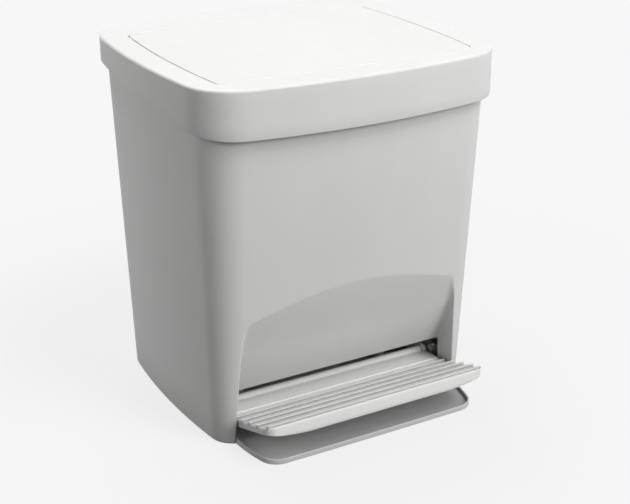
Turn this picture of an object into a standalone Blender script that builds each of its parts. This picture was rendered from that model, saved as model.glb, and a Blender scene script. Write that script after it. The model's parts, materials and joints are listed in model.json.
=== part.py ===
"""Pedal bin: tapered moulded body with a foot recess, lid frame with an inset flap, ribbed pedal,
lift rods, base tray and inner bucket. Metres, +Z up, the front faces -Y, the ground is Z = 0."""

from collections import namedtuple
from math import atan2, cos, hypot, pi, radians, sin, sqrt, tan

import bmesh
import bpy
from mathutils import Matrix, Vector

MM = 0.001

# Whole bin
BIN_HEIGHT = 440 * MM
SEAT_GAP = 0.3 * MM
OVERRUN = 12 * MM

# Plan outlines: width, reach to the front, reach to the back, bows of front, back and sides, corner
Plan = namedtuple("Plan", "width front back front_bow back_bow side_bow corner")
LID_WIDTH = 407 * MM
LID_DEPTH = 357 * MM
LID_BOW = 17.5 * MM
LID_SIDE_BOW = 13 * MM
LID_CORNER = 58 * MM
BODY_TAPER_SIDE = 22.4 * MM
BODY_TAPER_FRONT = 38 * MM
FOOT_BOW = 3 * MM
FOOT_SIDE_BOW = 10.4 * MM
FOOT_CORNER = 31 * MM
FRONT_STEPS = 10
SIDE_STEPS = 7
CORNER_STEPS = 6

# Body shell
SHELL_WALL = 2.6 * MM
GROUND_GAP = 3.2 * MM
RIM_INSET = 7.3 * MM
FLOOR_THICK = 3 * MM
BOSS_RADIUS = 5.5 * MM
BOSS_SIDE_INSET = 77.1 * MM
BOSS_FRONT_INSET = 94.5 * MM
BOSS_BACK_INSET = 32.5 * MM
PILOT_DEPTH = 14 * MM

# Foot recess in the body's front
SCOOP_SIDE_INSET = 26.1 * MM
SCOOP_LEAN = 10 * MM
SCOOP_CROWN = 184.6 * MM
SCOOP_LIP = 54 * MM
SCOOP_DEPTH = 32.5 * MM
SCOOP_BULGE = 4 * MM
SCOOP_FILLET = 7 * MM
SCOOP_STEPS = 8
FILLET_STEPS = 3
JAMB = 3 * MM

# Lid frame
LID_PLATE = 3 * MM
LID_EDGE_ROUND = 3.2 * MM
EDGE_STEPS = 3
SKIRT_WALL = 2.8 * MM
SKIRT_FRONT = 57.3 * MM
SKIRT_BACK = 24.8 * MM
LEDGE_WIDTH = 7.5 * MM
LEDGE_DROP = 1 * MM
LEDGE_THICK = 2.6 * MM
LOCATING_DEPTH = 13 * MM
LOCATING_WALL = 2 * MM
LOCATING_GAP = 0.5 * MM
BUFFER_RADIUS = 2.8 * MM
BUFFER_INSET = 66.15 * MM

# Flap: its borders are the lid frame's widths at the side, front and back
FLAP_BORDER_SIDE = 33.35 * MM
FLAP_BORDER_FRONT = 37.9 * MM
FLAP_BORDER_BACK = 55.1 * MM
FLAP_BOW = 7.4 * MM
FLAP_BACK_BOW = 12 * MM
FLAP_SIDE_BOW = 6.6 * MM
FLAP_CORNER = 6 * MM
FLAP_SEAM = 1.4 * MM
FLAP_EDGE_ROUND = 0.9 * MM
STIFFENER_INSET = 10 * MM
STIFFENER_WALL = 2.5 * MM
STIFFENER_DEPTH = 10 * MM
FLAP_RIBS = 3
FLAP_OPEN = radians(70)
HINGE_INSET = 21.4 * MM
HINGE_DROP = 5.6 * MM
HINGE_PIN_RADIUS = 2 * MM
HINGE_PIN_LENGTH = 22 * MM
HINGE_PIN_PROUD = 2 * MM
HINGE_BOSS_RADIUS = 5 * MM
HINGE_BOSS_END = 2 * MM
CHEEK_INSET = 18.65 * MM
CHEEK_THICK = 4 * MM

# Pedal
PEDAL_CLEARANCE = 4 * MM
PEDAL_PROJECTION = 68.5 * MM
LIP_RISE = 28.8 * MM
TREAD_SLOPE = radians(18.8)
TREAD_BELOW_PIVOT = 0.3 * MM
TREAD_PLATE = 2.8 * MM
TREAD_WALL = 2.6 * MM
TREAD_SKIRT = 8.6 * MM
LIP_HEIGHT = 15.4 * MM
LIP_THICK = 5 * MM
LIP_BLEND = 9 * MM
LIP_TAPER = 62 * MM
LIP_TAPER_STEPS = 6
TREAD_CORNER = 14 * MM
CELLS = 7
CELL_WEB = 2 * MM
RIBS = 5
RIB_PITCH = 19.8 * MM
RIB_WIDTH = 5 * MM
RIB_HEIGHT = 3.6 * MM
RIB_DROP = 3.4 * MM
RIB_PROUD = 1.1 * MM
RIB_FROM_LIP = 5.5 * MM
BEAD_SET_BACK = 12 * MM
BEAD_WIDTH = 4 * MM
BEAD_HEIGHT = 0.9 * MM
PIVOT_SET_BACK = 25.5 * MM
BARREL_RADIUS = 5.2 * MM
BARREL_END_INSET = 3 * MM
PRESS_ANGLE = radians(11)
ARM_THICK = 5 * MM
ARM_END_INSET = 1 * MM
ARM_HALF_HEIGHT = 6.2 * MM
ARM_ROOT_HALF_HEIGHT = 8 * MM

# Axle and its bearings on the base tray
AXLE_RADIUS = 2.5 * MM
AXLE_END_INSET = 1.3 * MM
BEARING_GAP = 0.8 * MM
BEARING_THICK = 11 * MM
BEARING_HALF_LENGTH = 13 * MM
CAP_HEIGHT = 7 * MM
CAP_SCREW_PITCH = 16 * MM

# Lift rods
ROD_RADIUS = 2.5 * MM
ROD_FROM_CHEEK = 5.5 * MM
ROD_BEND = 6 * MM
ROD_FOOT_PROUD = 4.5 * MM
ROD_HEAD_PROUD = 5.5 * MM
ROD_FOOT_CLEARANCE = 4.3 * MM
ROD_PLAY = 0.4 * MM
CRANK_PLAY = 0.85 * MM
CRANK_OFFSET_SHARE = 0.85
GUIDE_HEIGHT = 240 * MM
GUIDE_THICK = 12 * MM
GUIDE_HALF_WIDTH = 8 * MM
GUIDE_PLAY = 0.6 * MM
RETAINER_RADIUS = 5 * MM
RETAINER_THICK = 2 * MM

# Base tray
TRAY_UNDERSIDE = 0.6 * MM
TRAY_FLOOR = 2.1 * MM
TRAY_RIM = 6.5 * MM
TRAY_WALL = 2.4 * MM
TRAY_INSET = 1 * MM
TONGUE_PROJECTION = 63.5 * MM
TONGUE_GAP = 0.8 * MM
TONGUE_SIDE_BOW = 13.5 * MM
TONGUE_BOW = 0.8 * MM
TONGUE_CORNER = 24 * MM
TONGUE_BEHIND_PIVOT = 31.5 * MM
UPSTAND_GAP = 0.5 * MM
UPSTAND_SET_BACK = 12 * MM
UPSTAND_HEIGHT = 8 * MM
SCREW_PAD_RADIUS = 8 * MM
SCREW_PAD_HEIGHT = 3.2 * MM

# Screws
SCREW_RADIUS = 1.8 * MM
SCREW_HEAD_RADIUS = 3.6 * MM
SCREW_HEAD_HEIGHT = 2.2 * MM
SCREW_LENGTH = 12 * MM
SCREW_PLAY = 0.3 * MM

# Rubber feet
FOOT_PAD_RADIUS = 9 * MM
FOOT_PAD_THICK = 1.7 * MM
FOOT_PAD_SIDE_INSET = 49.1 * MM
FOOT_PAD_FRONT_INSET = 28.5 * MM
FOOT_PAD_BACK_INSET = 40.5 * MM

# Inner bucket: its insets are measured from the lid's outline at the rim and from the foot's at the base
BUCKET_BELOW_LID = 40 * MM
BUCKET_WALL = 1.9 * MM
BUCKET_RIM_SIDE_INSET = 63.5 * MM
BUCKET_RIM_FRONT_INSET = 54.5 * MM
BUCKET_RIM_BACK_INSET = 90.5 * MM
BUCKET_BASE_SIDE_INSET = 50.1 * MM
BUCKET_BASE_FRONT_INSET = 44.5 * MM
BUCKET_BASE_BACK_INSET = 62.5 * MM
BUCKET_BOW = 3 * MM
BUCKET_CORNER = 26 * MM
BUCKET_FLANGE = 5.5 * MM
BUCKET_FLANGE_THICK = 2 * MM
BUCKET_LIP_DEPTH = 7 * MM
GRIP_LENGTH = 84 * MM
GRIP_HEIGHT = 22 * MM
GRIP_BELOW_RIM = 16 * MM

# Facets
ROUND_SIDES = 24
SMALL_SIDES = 12
SHARP_ANGLE = radians(32)

# Heights that follow from the sizes above
LID_UNDERSIDE = BIN_HEIGHT - LID_PLATE
BODY_TOP = LID_UNDERSIDE - SEAT_GAP
FLOOR_TOP = SCOOP_LIP + FLOOR_THICK
HINGE_Z = BIN_HEIGHT - HINGE_DROP
BUCKET_RIM_Z = BIN_HEIGHT - BUCKET_BELOW_LID
TRAY_FLOOR_TOP = TRAY_UNDERSIDE + TRAY_FLOOR
TRAY_RIM_TOP = TRAY_UNDERSIDE + TRAY_RIM

# Widths and places across the bin that follow
FOOT_WIDTH = LID_WIDTH - 2 * BODY_TAPER_SIDE
SCOOP_FOOT_WIDTH = FOOT_WIDTH - 2 * SCOOP_SIDE_INSET
FLAP_WIDTH = LID_WIDTH - 2 * FLAP_BORDER_SIDE
PEDAL_WIDTH = SCOOP_FOOT_WIDTH - 2 * PEDAL_CLEARANCE
TONGUE_WIDTH = SCOOP_FOOT_WIDTH - 2 * TONGUE_GAP
BOSS_X = FOOT_WIDTH / 2 - BOSS_SIDE_INSET
FOOT_PAD_X = FOOT_WIDTH / 2 - FOOT_PAD_SIDE_INSET
BUFFER_X = FLAP_WIDTH / 2 - BUFFER_INSET
CHEEK_INNER_X = FLAP_WIDTH / 2 - CHEEK_INSET
CHEEK_OUTER_X = CHEEK_INNER_X + CHEEK_THICK
HINGE_PIN_INNER_X = CHEEK_INNER_X - HINGE_PIN_PROUD
HINGE_PIN_OUTER_X = HINGE_PIN_INNER_X + HINGE_PIN_LENGTH
HINGE_BOSS_OUTER_X = HINGE_PIN_OUTER_X + HINGE_BOSS_END
BARREL_LENGTH = PEDAL_WIDTH - 2 * BARREL_END_INSET
ARM_OUTER_X = BARREL_LENGTH / 2 - ARM_END_INSET
ARM_INNER_X = ARM_OUTER_X - ARM_THICK
BEARING_INNER_X = PEDAL_WIDTH / 2 + BEARING_GAP
BEARING_X = BEARING_INNER_X + BEARING_THICK / 2
AXLE_LENGTH = 2 * (BEARING_INNER_X + BEARING_THICK - AXLE_END_INSET)
ROD_X = CHEEK_OUTER_X + ROD_FROM_CHEEK
ROD_FOOT_INNER_X = ARM_INNER_X - ROD_FOOT_PROUD
ROD_HEAD_INNER_X = CHEEK_INNER_X - ROD_HEAD_PROUD

# Places along the bin's depth that follow
FOOT_DEPTH = LID_DEPTH - 2 * BODY_TAPER_FRONT
FLAP_FRONT = LID_DEPTH / 2 - FLAP_BORDER_FRONT
FLAP_BACK = LID_DEPTH / 2 - FLAP_BORDER_BACK
HINGE_Y = FLAP_BACK - HINGE_INSET
SCOOP_BACK_Y = SCOOP_DEPTH - FOOT_DEPTH / 2
PIVOT_Y = SCOOP_BACK_Y + PIVOT_SET_BACK
PEDAL_REACH = FOOT_DEPTH / 2 + PEDAL_PROJECTION
TONGUE_REACH = FOOT_DEPTH / 2 + TONGUE_PROJECTION
TONGUE_BACK_Y = PIVOT_Y + TONGUE_BEHIND_PIVOT
UPSTAND_FRONT_Y = SCOOP_BACK_Y + UPSTAND_SET_BACK
BOSS_FRONT_Y = BOSS_FRONT_INSET - FOOT_DEPTH / 2
BOSS_BACK_Y = FOOT_DEPTH / 2 - BOSS_BACK_INSET
FOOT_PAD_FRONT_Y = FOOT_PAD_FRONT_INSET - FOOT_DEPTH / 2
FOOT_PAD_BACK_Y = FOOT_DEPTH / 2 - FOOT_PAD_BACK_INSET
BUCKET_RIM_FRONT = LID_DEPTH / 2 - BUCKET_RIM_FRONT_INSET
BUCKET_RIM_BACK = LID_DEPTH / 2 - BUCKET_RIM_BACK_INSET
BEND_Y = -PEDAL_REACH + LIP_RISE / tan(TREAD_SLOPE)

# Linkage: the pedal's arms and the flap's cranks are as long as makes both ends of a rod rise alike
HALF_PRESS = PRESS_ANGLE / 2
HALF_OPEN = FLAP_OPEN / 2
CRANK_PER_ARM = sin(HALF_PRESS) / sin(HALF_OPEN)
ARM_RADIUS = (HINGE_Y - PIVOT_Y) / ((1 + cos(HALF_PRESS)) / 2 + CRANK_OFFSET_SHARE * CRANK_PER_ARM)
CRANK_RADIUS = ARM_RADIUS * CRANK_PER_ARM
CRANK_OFFSET = CRANK_OFFSET_SHARE * CRANK_RADIUS
ROD_Y = HINGE_Y - CRANK_OFFSET
ROD_FOOT_Z = TRAY_FLOOR_TOP + ROD_FOOT_CLEARANCE + RETAINER_RADIUS
ROD_HEAD_Z = HINGE_Z - CRANK_RADIUS * sin(HALF_OPEN)
PIVOT_Z = ROD_FOOT_Z + ARM_RADIUS * sin(HALF_PRESS)
TREAD_LEVEL = PIVOT_Z - TREAD_BELOW_PIVOT
PEDAL_TOP = TREAD_LEVEL + LIP_RISE

# Plans
LID_PLAN = Plan(LID_WIDTH, LID_DEPTH / 2, LID_DEPTH / 2, LID_BOW, LID_BOW, LID_SIDE_BOW, LID_CORNER)
FOOT_PLAN = Plan(FOOT_WIDTH, FOOT_DEPTH / 2, FOOT_DEPTH / 2, FOOT_BOW, FOOT_BOW, FOOT_SIDE_BOW, FOOT_CORNER)
FLAP_PLAN = Plan(FLAP_WIDTH, FLAP_FRONT, FLAP_BACK, FLAP_BOW, FLAP_BACK_BOW, FLAP_SIDE_BOW, FLAP_CORNER)
TONGUE_PLAN = Plan(
    TONGUE_WIDTH, TONGUE_REACH, TONGUE_BACK_Y, TONGUE_BOW, TONGUE_BOW, TONGUE_SIDE_BOW, TONGUE_CORNER
)
BUCKET_RIM_PLAN = Plan(
    LID_WIDTH - 2 * BUCKET_RIM_SIDE_INSET, BUCKET_RIM_FRONT, BUCKET_RIM_BACK,
    BUCKET_BOW, BUCKET_BOW, BUCKET_BOW, BUCKET_CORNER,
)
BUCKET_BASE_PLAN = Plan(
    FOOT_WIDTH - 2 * BUCKET_BASE_SIDE_INSET, FOOT_DEPTH / 2 - BUCKET_BASE_FRONT_INSET,
    FOOT_DEPTH / 2 - BUCKET_BASE_BACK_INSET, BUCKET_BOW, BUCKET_BOW, BUCKET_BOW, BUCKET_CORNER,
)


# Scene and collections

def clear_scene():
    for old in list(bpy.data.objects):
        bpy.data.objects.remove(old)


def new_collection(name):
    collection = bpy.data.collections.new(name)
    bpy.context.scene.collection.children.link(collection)
    return collection


def material(name, colour, roughness, metallic=0.0):
    made = bpy.data.materials.new(name)
    made.use_nodes = True
    shader = made.node_tree.nodes["Principled BSDF"]
    shader.inputs["Base Color"].default_value = (*colour, 1.0)
    shader.inputs["Roughness"].default_value = roughness
    shader.inputs["Metallic"].default_value = metallic
    made.diffuse_color = (*colour, 1.0)
    return made


# Objects from meshes

def mesh_object(name, bm, collection):
    bmesh.ops.recalc_face_normals(bm, faces=bm.faces)
    if bm.calc_volume(signed=True) < 0:
        bmesh.ops.reverse_faces(bm, faces=bm.faces)
    mesh = bpy.data.meshes.new(name)
    bm.to_mesh(mesh)
    bm.free()
    made = bpy.data.objects.new(name, mesh)
    collection.objects.link(made)
    return made


def as_cutter(made):
    made.hide_render = True
    made.display_type = "WIRE"
    return made


def combine(target, other, operation):
    modifier = target.modifiers.new(f"{operation.lower()}_{other.name}", "BOOLEAN")
    modifier.operation = operation
    modifier.solver = "EXACT"
    modifier.object = other
    return target


def finish(made, look, origin=(0, 0, 0)):
    """Gives a piece its material and shading, and moves its origin to the point that it turns on."""
    shift = Vector(origin)
    made.data.transform(Matrix.Translation(-shift))
    made.location = shift
    made.data.materials.append(look)
    made.data.shade_smooth()
    made.data.set_sharp_from_angle(angle=SHARP_ANGLE)
    return made


# Plan outlines made of four bowed sides and round corners

def side_radius(half_chord, bow):
    return (half_chord * half_chord + bow * bow) / (2 * bow)


def corner_centre(first, first_radius, second, second_radius, corner, x_sign, y_sign):
    """The centre of the round corner that touches both side arcs from inside."""
    r1 = first_radius - corner
    r2 = second_radius - corner
    dx = second[0] - first[0]
    dy = second[1] - first[1]
    apart = hypot(dx, dy)
    along = (r1 * r1 - r2 * r2 + apart * apart) / (2 * apart)
    across = sqrt(r1 * r1 - along * along)
    foot = (first[0] + dx * along / apart, first[1] + dy * along / apart)
    spots = [
        (foot[0] - side * dy / apart * across, foot[1] + side * dx / apart * across)
        for side in (1, -1)
    ]
    return max(spots, key=lambda spot: x_sign * spot[0] + y_sign * spot[1])


def arc_points(centre, radius, start, end, steps):
    return [
        (
            centre[0] + radius * cos(start + (end - start) * i / steps),
            centre[1] + radius * sin(start + (end - start) * i / steps),
        )
        for i in range(steps)
    ]


def full_arc(centre, radius, start, end, steps):
    """An arc that has its last point too."""
    last = (centre[0] + radius * cos(end), centre[1] + radius * sin(end))
    return [*arc_points(centre, radius, start, end, steps), last]


def outline(plan, grow=0.0):
    """Points of the plan, anticlockwise from the front left corner, moved out by grow all round."""
    half = plan.width / 2
    chord_x = half - plan.side_bow
    low = -plan.front + plan.front_bow
    high = plan.back - plan.back_bow
    front_r = side_radius(chord_x, plan.front_bow)
    back_r = side_radius(chord_x, plan.back_bow)
    side_r = side_radius((high - low) / 2, plan.side_bow)
    front = (0.0, -plan.front + front_r)
    back = (0.0, plan.back - back_r)
    right = (half - side_r, (low + high) / 2)
    fr = corner_centre(front, front_r, right, side_r, plan.corner, 1, -1)
    br = corner_centre(right, side_r, back, back_r, plan.corner, 1, 1)
    front_end = atan2(fr[1] - front[1], fr[0] - front[0])
    right_low = atan2(fr[1] - right[1], fr[0] - right[0])
    right_high = atan2(br[1] - right[1], br[0] - right[0])
    back_start = atan2(br[1] - back[1], br[0] - back[0])
    fl = (-fr[0], fr[1])
    bl = (-br[0], br[1])
    left = (-right[0], right[1])
    turn = 2 * pi
    rounding = plan.corner + grow
    points = arc_points(front, front_r + grow, -pi - front_end, front_end, FRONT_STEPS)
    points += arc_points(fr, rounding, front_end, right_low, CORNER_STEPS)
    points += arc_points(right, side_r + grow, right_low, right_high, SIDE_STEPS)
    points += arc_points(br, rounding, right_high, back_start, CORNER_STEPS)
    points += arc_points(back, back_r + grow, back_start, pi - back_start, FRONT_STEPS)
    points += arc_points(bl, rounding, pi - back_start, pi - right_high, CORNER_STEPS)
    points += arc_points(left, side_r + grow, pi - right_high, pi - right_low, SIDE_STEPS)
    points += arc_points(fl, rounding, pi - right_low, turn - pi - front_end, CORNER_STEPS)
    return points


def between(low_points, high_points, share):
    return [
        (a[0] + (b[0] - a[0]) * share, a[1] + (b[1] - a[1]) * share)
        for a, b in zip(low_points, high_points)
    ]


def body_outline(height, grow=0.0):
    """Section of the body's taper at a height."""
    share = (height - GROUND_GAP) / (BODY_TOP - GROUND_GAP)
    return between(outline(FOOT_PLAN, grow), outline(LID_PLAN, grow - RIM_INSET), share)


def front_face_y(height):
    """Where the body's front face crosses the centre plane."""
    share = (height - GROUND_GAP) / (BODY_TOP - GROUND_GAP)
    return -(FOOT_DEPTH / 2 + (LID_DEPTH / 2 - RIM_INSET - FOOT_DEPTH / 2) * share)


# Solids from outlines

def loft(name, levels, collection):
    """A closed solid through rings of equal count, each a list of plan points and its height."""
    bm = bmesh.new()
    rings = [[bm.verts.new((x, y, z)) for x, y in points] for points, z in levels]
    count = len(rings[0])
    for lower, upper in zip(rings, rings[1:]):
        for i in range(count):
            j = (i + 1) % count
            bm.faces.new((lower[i], lower[j], upper[j], upper[i]))
    bmesh.ops.triangulate(bm, faces=bm.faces)
    bm.faces.new(rings[0])
    bm.faces.new(rings[-1])
    return mesh_object(name, bm, collection)


def bridge(name, first, second, collection):
    """A closed solid between two flat rings of equal count."""
    bm = bmesh.new()
    rings = [[bm.verts.new(point) for point in ring] for ring in (first, second)]
    count = len(first)
    for i in range(count):
        j = (i + 1) % count
        bm.faces.new((rings[0][i], rings[0][j], rings[1][j], rings[1][i]))
    for ring in rings:
        bm.faces.new(ring)
    return mesh_object(name, bm, collection)


def prism(name, points, low, high, collection):
    return loft(name, [(points, low), (points, high)], collection)


def side_prism(name, profile, x_low, x_high, collection):
    """A solid with a side profile of (y, z) points, drawn out from one X to another."""
    return bridge(name, [(x_low, y, z) for y, z in profile], [(x_high, y, z) for y, z in profile], collection)


def box(name, low, high, collection):
    bm = bmesh.new()
    bmesh.ops.create_cube(bm, size=1)
    size = [b - a for a, b in zip(low, high)]
    middle = [(a + b) / 2 for a, b in zip(low, high)]
    bm.transform(Matrix.Translation(middle) @ Matrix.Diagonal((*size, 1)))
    return mesh_object(name, bm, collection)


def cylinder(name, start, end, radius, sides, collection):
    """A round bar between two points on one axis."""
    bm = bmesh.new()
    axis = Vector(end) - Vector(start)
    bmesh.ops.create_cone(
        bm, cap_ends=True, segments=sides, radius1=radius, radius2=radius, depth=axis.length
    )
    turn = axis.to_track_quat("Z", "Y").to_matrix().to_4x4()
    bm.transform(Matrix.Translation((Vector(start) + Vector(end)) / 2) @ turn)
    return mesh_object(name, bm, collection)


def rounded_slot(y, z, radius, reach, angle):
    """Side profile of a slot or an arm end: two half circles joined, along an angle in the YZ plane."""
    points = []
    for end, start in ((reach, angle - pi / 2), (-reach, angle + pi / 2)):
        centre = (y + end * cos(angle), z + end * sin(angle))
        points += full_arc(centre, radius, start, start + pi, SMALL_SIDES // 2)
    return points


# Body shell

def scoop_profile(grow):
    """Side profile of the foot recess's back wall, from below the body up to well in front of it."""
    crown = Vector((front_face_y(SCOOP_CROWN), SCOOP_CROWN))
    lip = Vector((SCOOP_BACK_Y, SCOOP_LIP))
    chord = lip - crown
    radius = side_radius(chord.length / 2, SCOOP_BULGE)
    inward = Vector((-chord.y, chord.x)).normalized()
    centre = (crown + lip) / 2 + inward * (radius - SCOOP_BULGE)
    start = atan2(crown.y - centre.y, crown.x - centre.x)
    end = atan2(lip.y - centre.y, lip.x - centre.x)
    if end - start > pi:
        end -= 2 * pi
    if start - end > pi:
        end += 2 * pi
    wall = full_arc(centre, radius - grow, start, end, SCOOP_STEPS)
    rise = Vector((-sin(start), cos(start)))
    if rise.y < 0:
        rise = -rise
    above = Vector(wall[0]) + rise * (SCOOP_CROWN - SCOOP_LIP) / 2
    return [(SCOOP_BACK_Y + grow, -OVERRUN), *reversed(wall), tuple(above)]


def scoop_solid(name, grow, collection):
    """The recess in level sections, its sides leaning in upwards and its inner corners filleted."""
    lean = SCOOP_LEAN / SCOOP_CROWN
    fillet = SCOOP_FILLET + grow
    ahead = -LID_DEPTH / 2 - OVERRUN
    levels = []
    for y, z in scoop_profile(grow):
        half = SCOOP_FOOT_WIDTH / 2 + grow - lean * z
        points = [(-half, ahead), (half, ahead)]
        points += full_arc((half - fillet, y - fillet), fillet, 0.0, pi / 2, FILLET_STEPS)
        points += full_arc((fillet - half, y - fillet), fillet, pi / 2, pi, FILLET_STEPS)
        levels.append((points, z))
    return loft(name, levels, collection)


def cavity(name, low, high, recess, helpers):
    """Space inside the body between two heights, kept one wall away from the recess."""
    levels = [(body_outline(low, -SHELL_WALL), low), (body_outline(high, -SHELL_WALL), high)]
    return as_cutter(combine(loft(name, levels, helpers), recess, "DIFFERENCE"))


def body_shell(parts, helpers, look):
    body = loft(
        "body_shell", [(body_outline(GROUND_GAP), GROUND_GAP), (body_outline(BODY_TOP), BODY_TOP)], parts
    )
    recess = as_cutter(scoop_solid("recess_cutter", 0.0, helpers))
    recess_wall = as_cutter(scoop_solid("recess_wall", SHELL_WALL, helpers))
    combine(body, recess, "DIFFERENCE")
    combine(body, cavity("upper_cavity", FLOOR_TOP, BODY_TOP + OVERRUN, recess_wall, helpers), "DIFFERENCE")
    combine(body, cavity("lower_cavity", -OVERRUN, SCOOP_LIP, recess_wall, helpers), "DIFFERENCE")
    half_slot = SCOOP_FOOT_WIDTH / 2 - JAMB
    slot = box(
        "pedal_slot",
        (-half_slot, SCOOP_BACK_Y - SHELL_WALL, -OVERRUN),
        (half_slot, SCOOP_BACK_Y + 2 * SHELL_WALL, SCOOP_LIP),
        helpers,
    )
    combine(body, as_cutter(slot), "DIFFERENCE")
    levels = [(body_outline(z, -SHELL_WALL / 2), z) for z in (GROUND_GAP, BODY_TOP)]
    outer = as_cutter(loft("guide_limit", levels, helpers))
    for side, word in ((-1, "left"), (1, "right")):
        ends = sorted((side * (ROD_X - GUIDE_HALF_WIDTH), side * FOOT_WIDTH))
        guide = box(
            f"guide_{word}",
            (ends[0], ROD_Y - GUIDE_HALF_WIDTH, GUIDE_HEIGHT),
            (ends[1], ROD_Y + GUIDE_HALF_WIDTH, GUIDE_HEIGHT + GUIDE_THICK),
            helpers,
        )
        combine(body, as_cutter(combine(guide, outer, "INTERSECT")), "UNION")
        bore = cylinder(
            f"guide_bore_{word}",
            (side * ROD_X, ROD_Y, SCOOP_LIP - OVERRUN),
            (side * ROD_X, ROD_Y, GUIDE_HEIGHT + GUIDE_THICK + OVERRUN),
            ROD_RADIUS + GUIDE_PLAY,
            SMALL_SIDES,
            helpers,
        )
        combine(body, as_cutter(bore), "DIFFERENCE")
        x = side * BOSS_X
        for y, place in ((BOSS_FRONT_Y, "front"), (BOSS_BACK_Y, "back")):
            low = TRAY_FLOOR_TOP + SCREW_PAD_HEIGHT + SEAT_GAP
            boss = cylinder(f"boss_{place}_{word}", (x, y, low), (x, y, SCOOP_LIP + FLOOR_THICK / 2),
                            BOSS_RADIUS, ROUND_SIDES, helpers)
            pilot = cylinder(f"pilot_{place}_{word}", (x, y, low - OVERRUN), (x, y, low + PILOT_DEPTH),
                             SCREW_RADIUS + SCREW_PLAY, SMALL_SIDES, helpers)
            combine(body, as_cutter(boss), "UNION")
            combine(body, as_cutter(pilot), "DIFFERENCE")
    return finish(body, look)


# Lid frame

def lid_frame(parts, helpers, look):
    low = BIN_HEIGHT - SKIRT_FRONT - OVERRUN
    levels = [(outline(LID_PLAN), low)]
    for i in range(EDGE_STEPS + 1):
        angle = pi / 2 * i / EDGE_STEPS
        inset = LID_EDGE_ROUND * (1 - cos(angle))
        levels.append((outline(LID_PLAN, -inset), BIN_HEIGHT - LID_EDGE_ROUND * (1 - sin(angle))))
    frame = loft("lid_frame", levels, parts)
    hollow = prism("frame_hollow", outline(LID_PLAN, -SKIRT_WALL), low - OVERRUN, LID_UNDERSIDE, helpers)
    combine(frame, as_cutter(skirt_trim(low, helpers)), "DIFFERENCE")
    combine(frame, as_cutter(hollow), "DIFFERENCE")

    combine(frame, flap_seat(helpers), "UNION")
    opening = prism("flap_opening", outline(FLAP_PLAN, FLAP_SEAM), LID_UNDERSIDE - LEDGE_DROP,
                    BIN_HEIGHT + OVERRUN, helpers)
    combine(frame, as_cutter(opening), "DIFFERENCE")

    rim_low = LID_UNDERSIDE - LOCATING_DEPTH
    rim_high = LID_UNDERSIDE + LID_PLATE / 2
    reach = -SHELL_WALL - LOCATING_GAP
    levels = [(body_outline(z, reach), z) for z in (rim_low, rim_high)]
    rim = loft("frame_rim", levels, helpers)
    reach -= LOCATING_WALL
    levels = [(body_outline(z, reach), z) for z in (rim_low - OVERRUN, rim_high + OVERRUN)]
    rim_hole = loft("frame_rim_hole", levels, helpers)
    combine(frame, as_cutter(combine(rim, as_cutter(rim_hole), "DIFFERENCE")), "UNION")
    return finish(frame, look)


def flap_seat(helpers):
    """Web and ledge round the opening, with the hinge bosses; the ledge ends ahead of the rods."""
    low = LID_UNDERSIDE - LEDGE_DROP - LEDGE_THICK
    high = LID_UNDERSIDE + LID_PLATE / 2
    seat = prism("flap_seat", outline(FLAP_PLAN, FLAP_SEAM + SKIRT_WALL), low, high, helpers)
    for side, word in ((-1, "left"), (1, "right")):
        boss = cylinder(
            f"hinge_boss_{word}", (side * CHEEK_OUTER_X, HINGE_Y, HINGE_Z),
            (side * HINGE_BOSS_OUTER_X, HINGE_Y, HINGE_Z), HINGE_BOSS_RADIUS, ROUND_SIDES, helpers,
        )
        limit = box(
            f"hinge_boss_limit_{word}",
            (-HINGE_BOSS_OUTER_X - OVERRUN, HINGE_Y - OVERRUN, HINGE_Z - OVERRUN),
            (HINGE_BOSS_OUTER_X + OVERRUN, HINGE_Y + OVERRUN, high), helpers,
        )
        combine(boss, as_cutter(limit), "INTERSECT")
        combine(seat, as_cutter(boss), "UNION")
    hole = prism("ledge_hole", inset_plan(LEDGE_WIDTH - FLAP_SEAM), low - OVERRUN, high + OVERRUN, helpers)
    relief = prism("ledge_relief", outline(FLAP_PLAN, FLAP_SEAM + SEAT_GAP), low - OVERRUN, high + OVERRUN,
                   helpers)
    relief_zone = box(
        "ledge_relief_zone",
        (-FLAP_WIDTH, ROD_Y - 2 * GUIDE_HALF_WIDTH, low - 2 * OVERRUN),
        (FLAP_WIDTH, FLAP_BACK + OVERRUN, high + 2 * OVERRUN), helpers,
    )
    combine(relief, as_cutter(relief_zone), "INTERSECT")
    back_zone = box(
        "seat_back_zone",
        (-CHEEK_OUTER_X, HINGE_Y + HINGE_BOSS_RADIUS, low - OVERRUN),
        (CHEEK_OUTER_X, FLAP_BACK + OVERRUN, high + OVERRUN), helpers,
    )
    combine(seat, as_cutter(hole), "DIFFERENCE")
    combine(seat, as_cutter(relief), "DIFFERENCE")
    combine(seat, as_cutter(back_zone), "DIFFERENCE")
    for side, word in ((-1, "left"), (1, "right")):
        pin_hole = cylinder(
            f"hinge_hole_{word}", (side * (CHEEK_INNER_X - OVERRUN), HINGE_Y, HINGE_Z),
            (side * (HINGE_PIN_OUTER_X + SEAT_GAP), HINGE_Y, HINGE_Z),
            HINGE_PIN_RADIUS + SEAT_GAP, SMALL_SIDES, helpers,
        )
        buffer_hole = cylinder(
            f"buffer_hole_{word}", (side * BUFFER_X, buffer_y(), low - OVERRUN),
            (side * BUFFER_X, buffer_y(), BIN_HEIGHT), BUFFER_RADIUS + SEAT_GAP, SMALL_SIDES, helpers,
        )
        combine(seat, as_cutter(pin_hole), "DIFFERENCE")
        combine(seat, as_cutter(buffer_hole), "DIFFERENCE")
    return as_cutter(seat)


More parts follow.
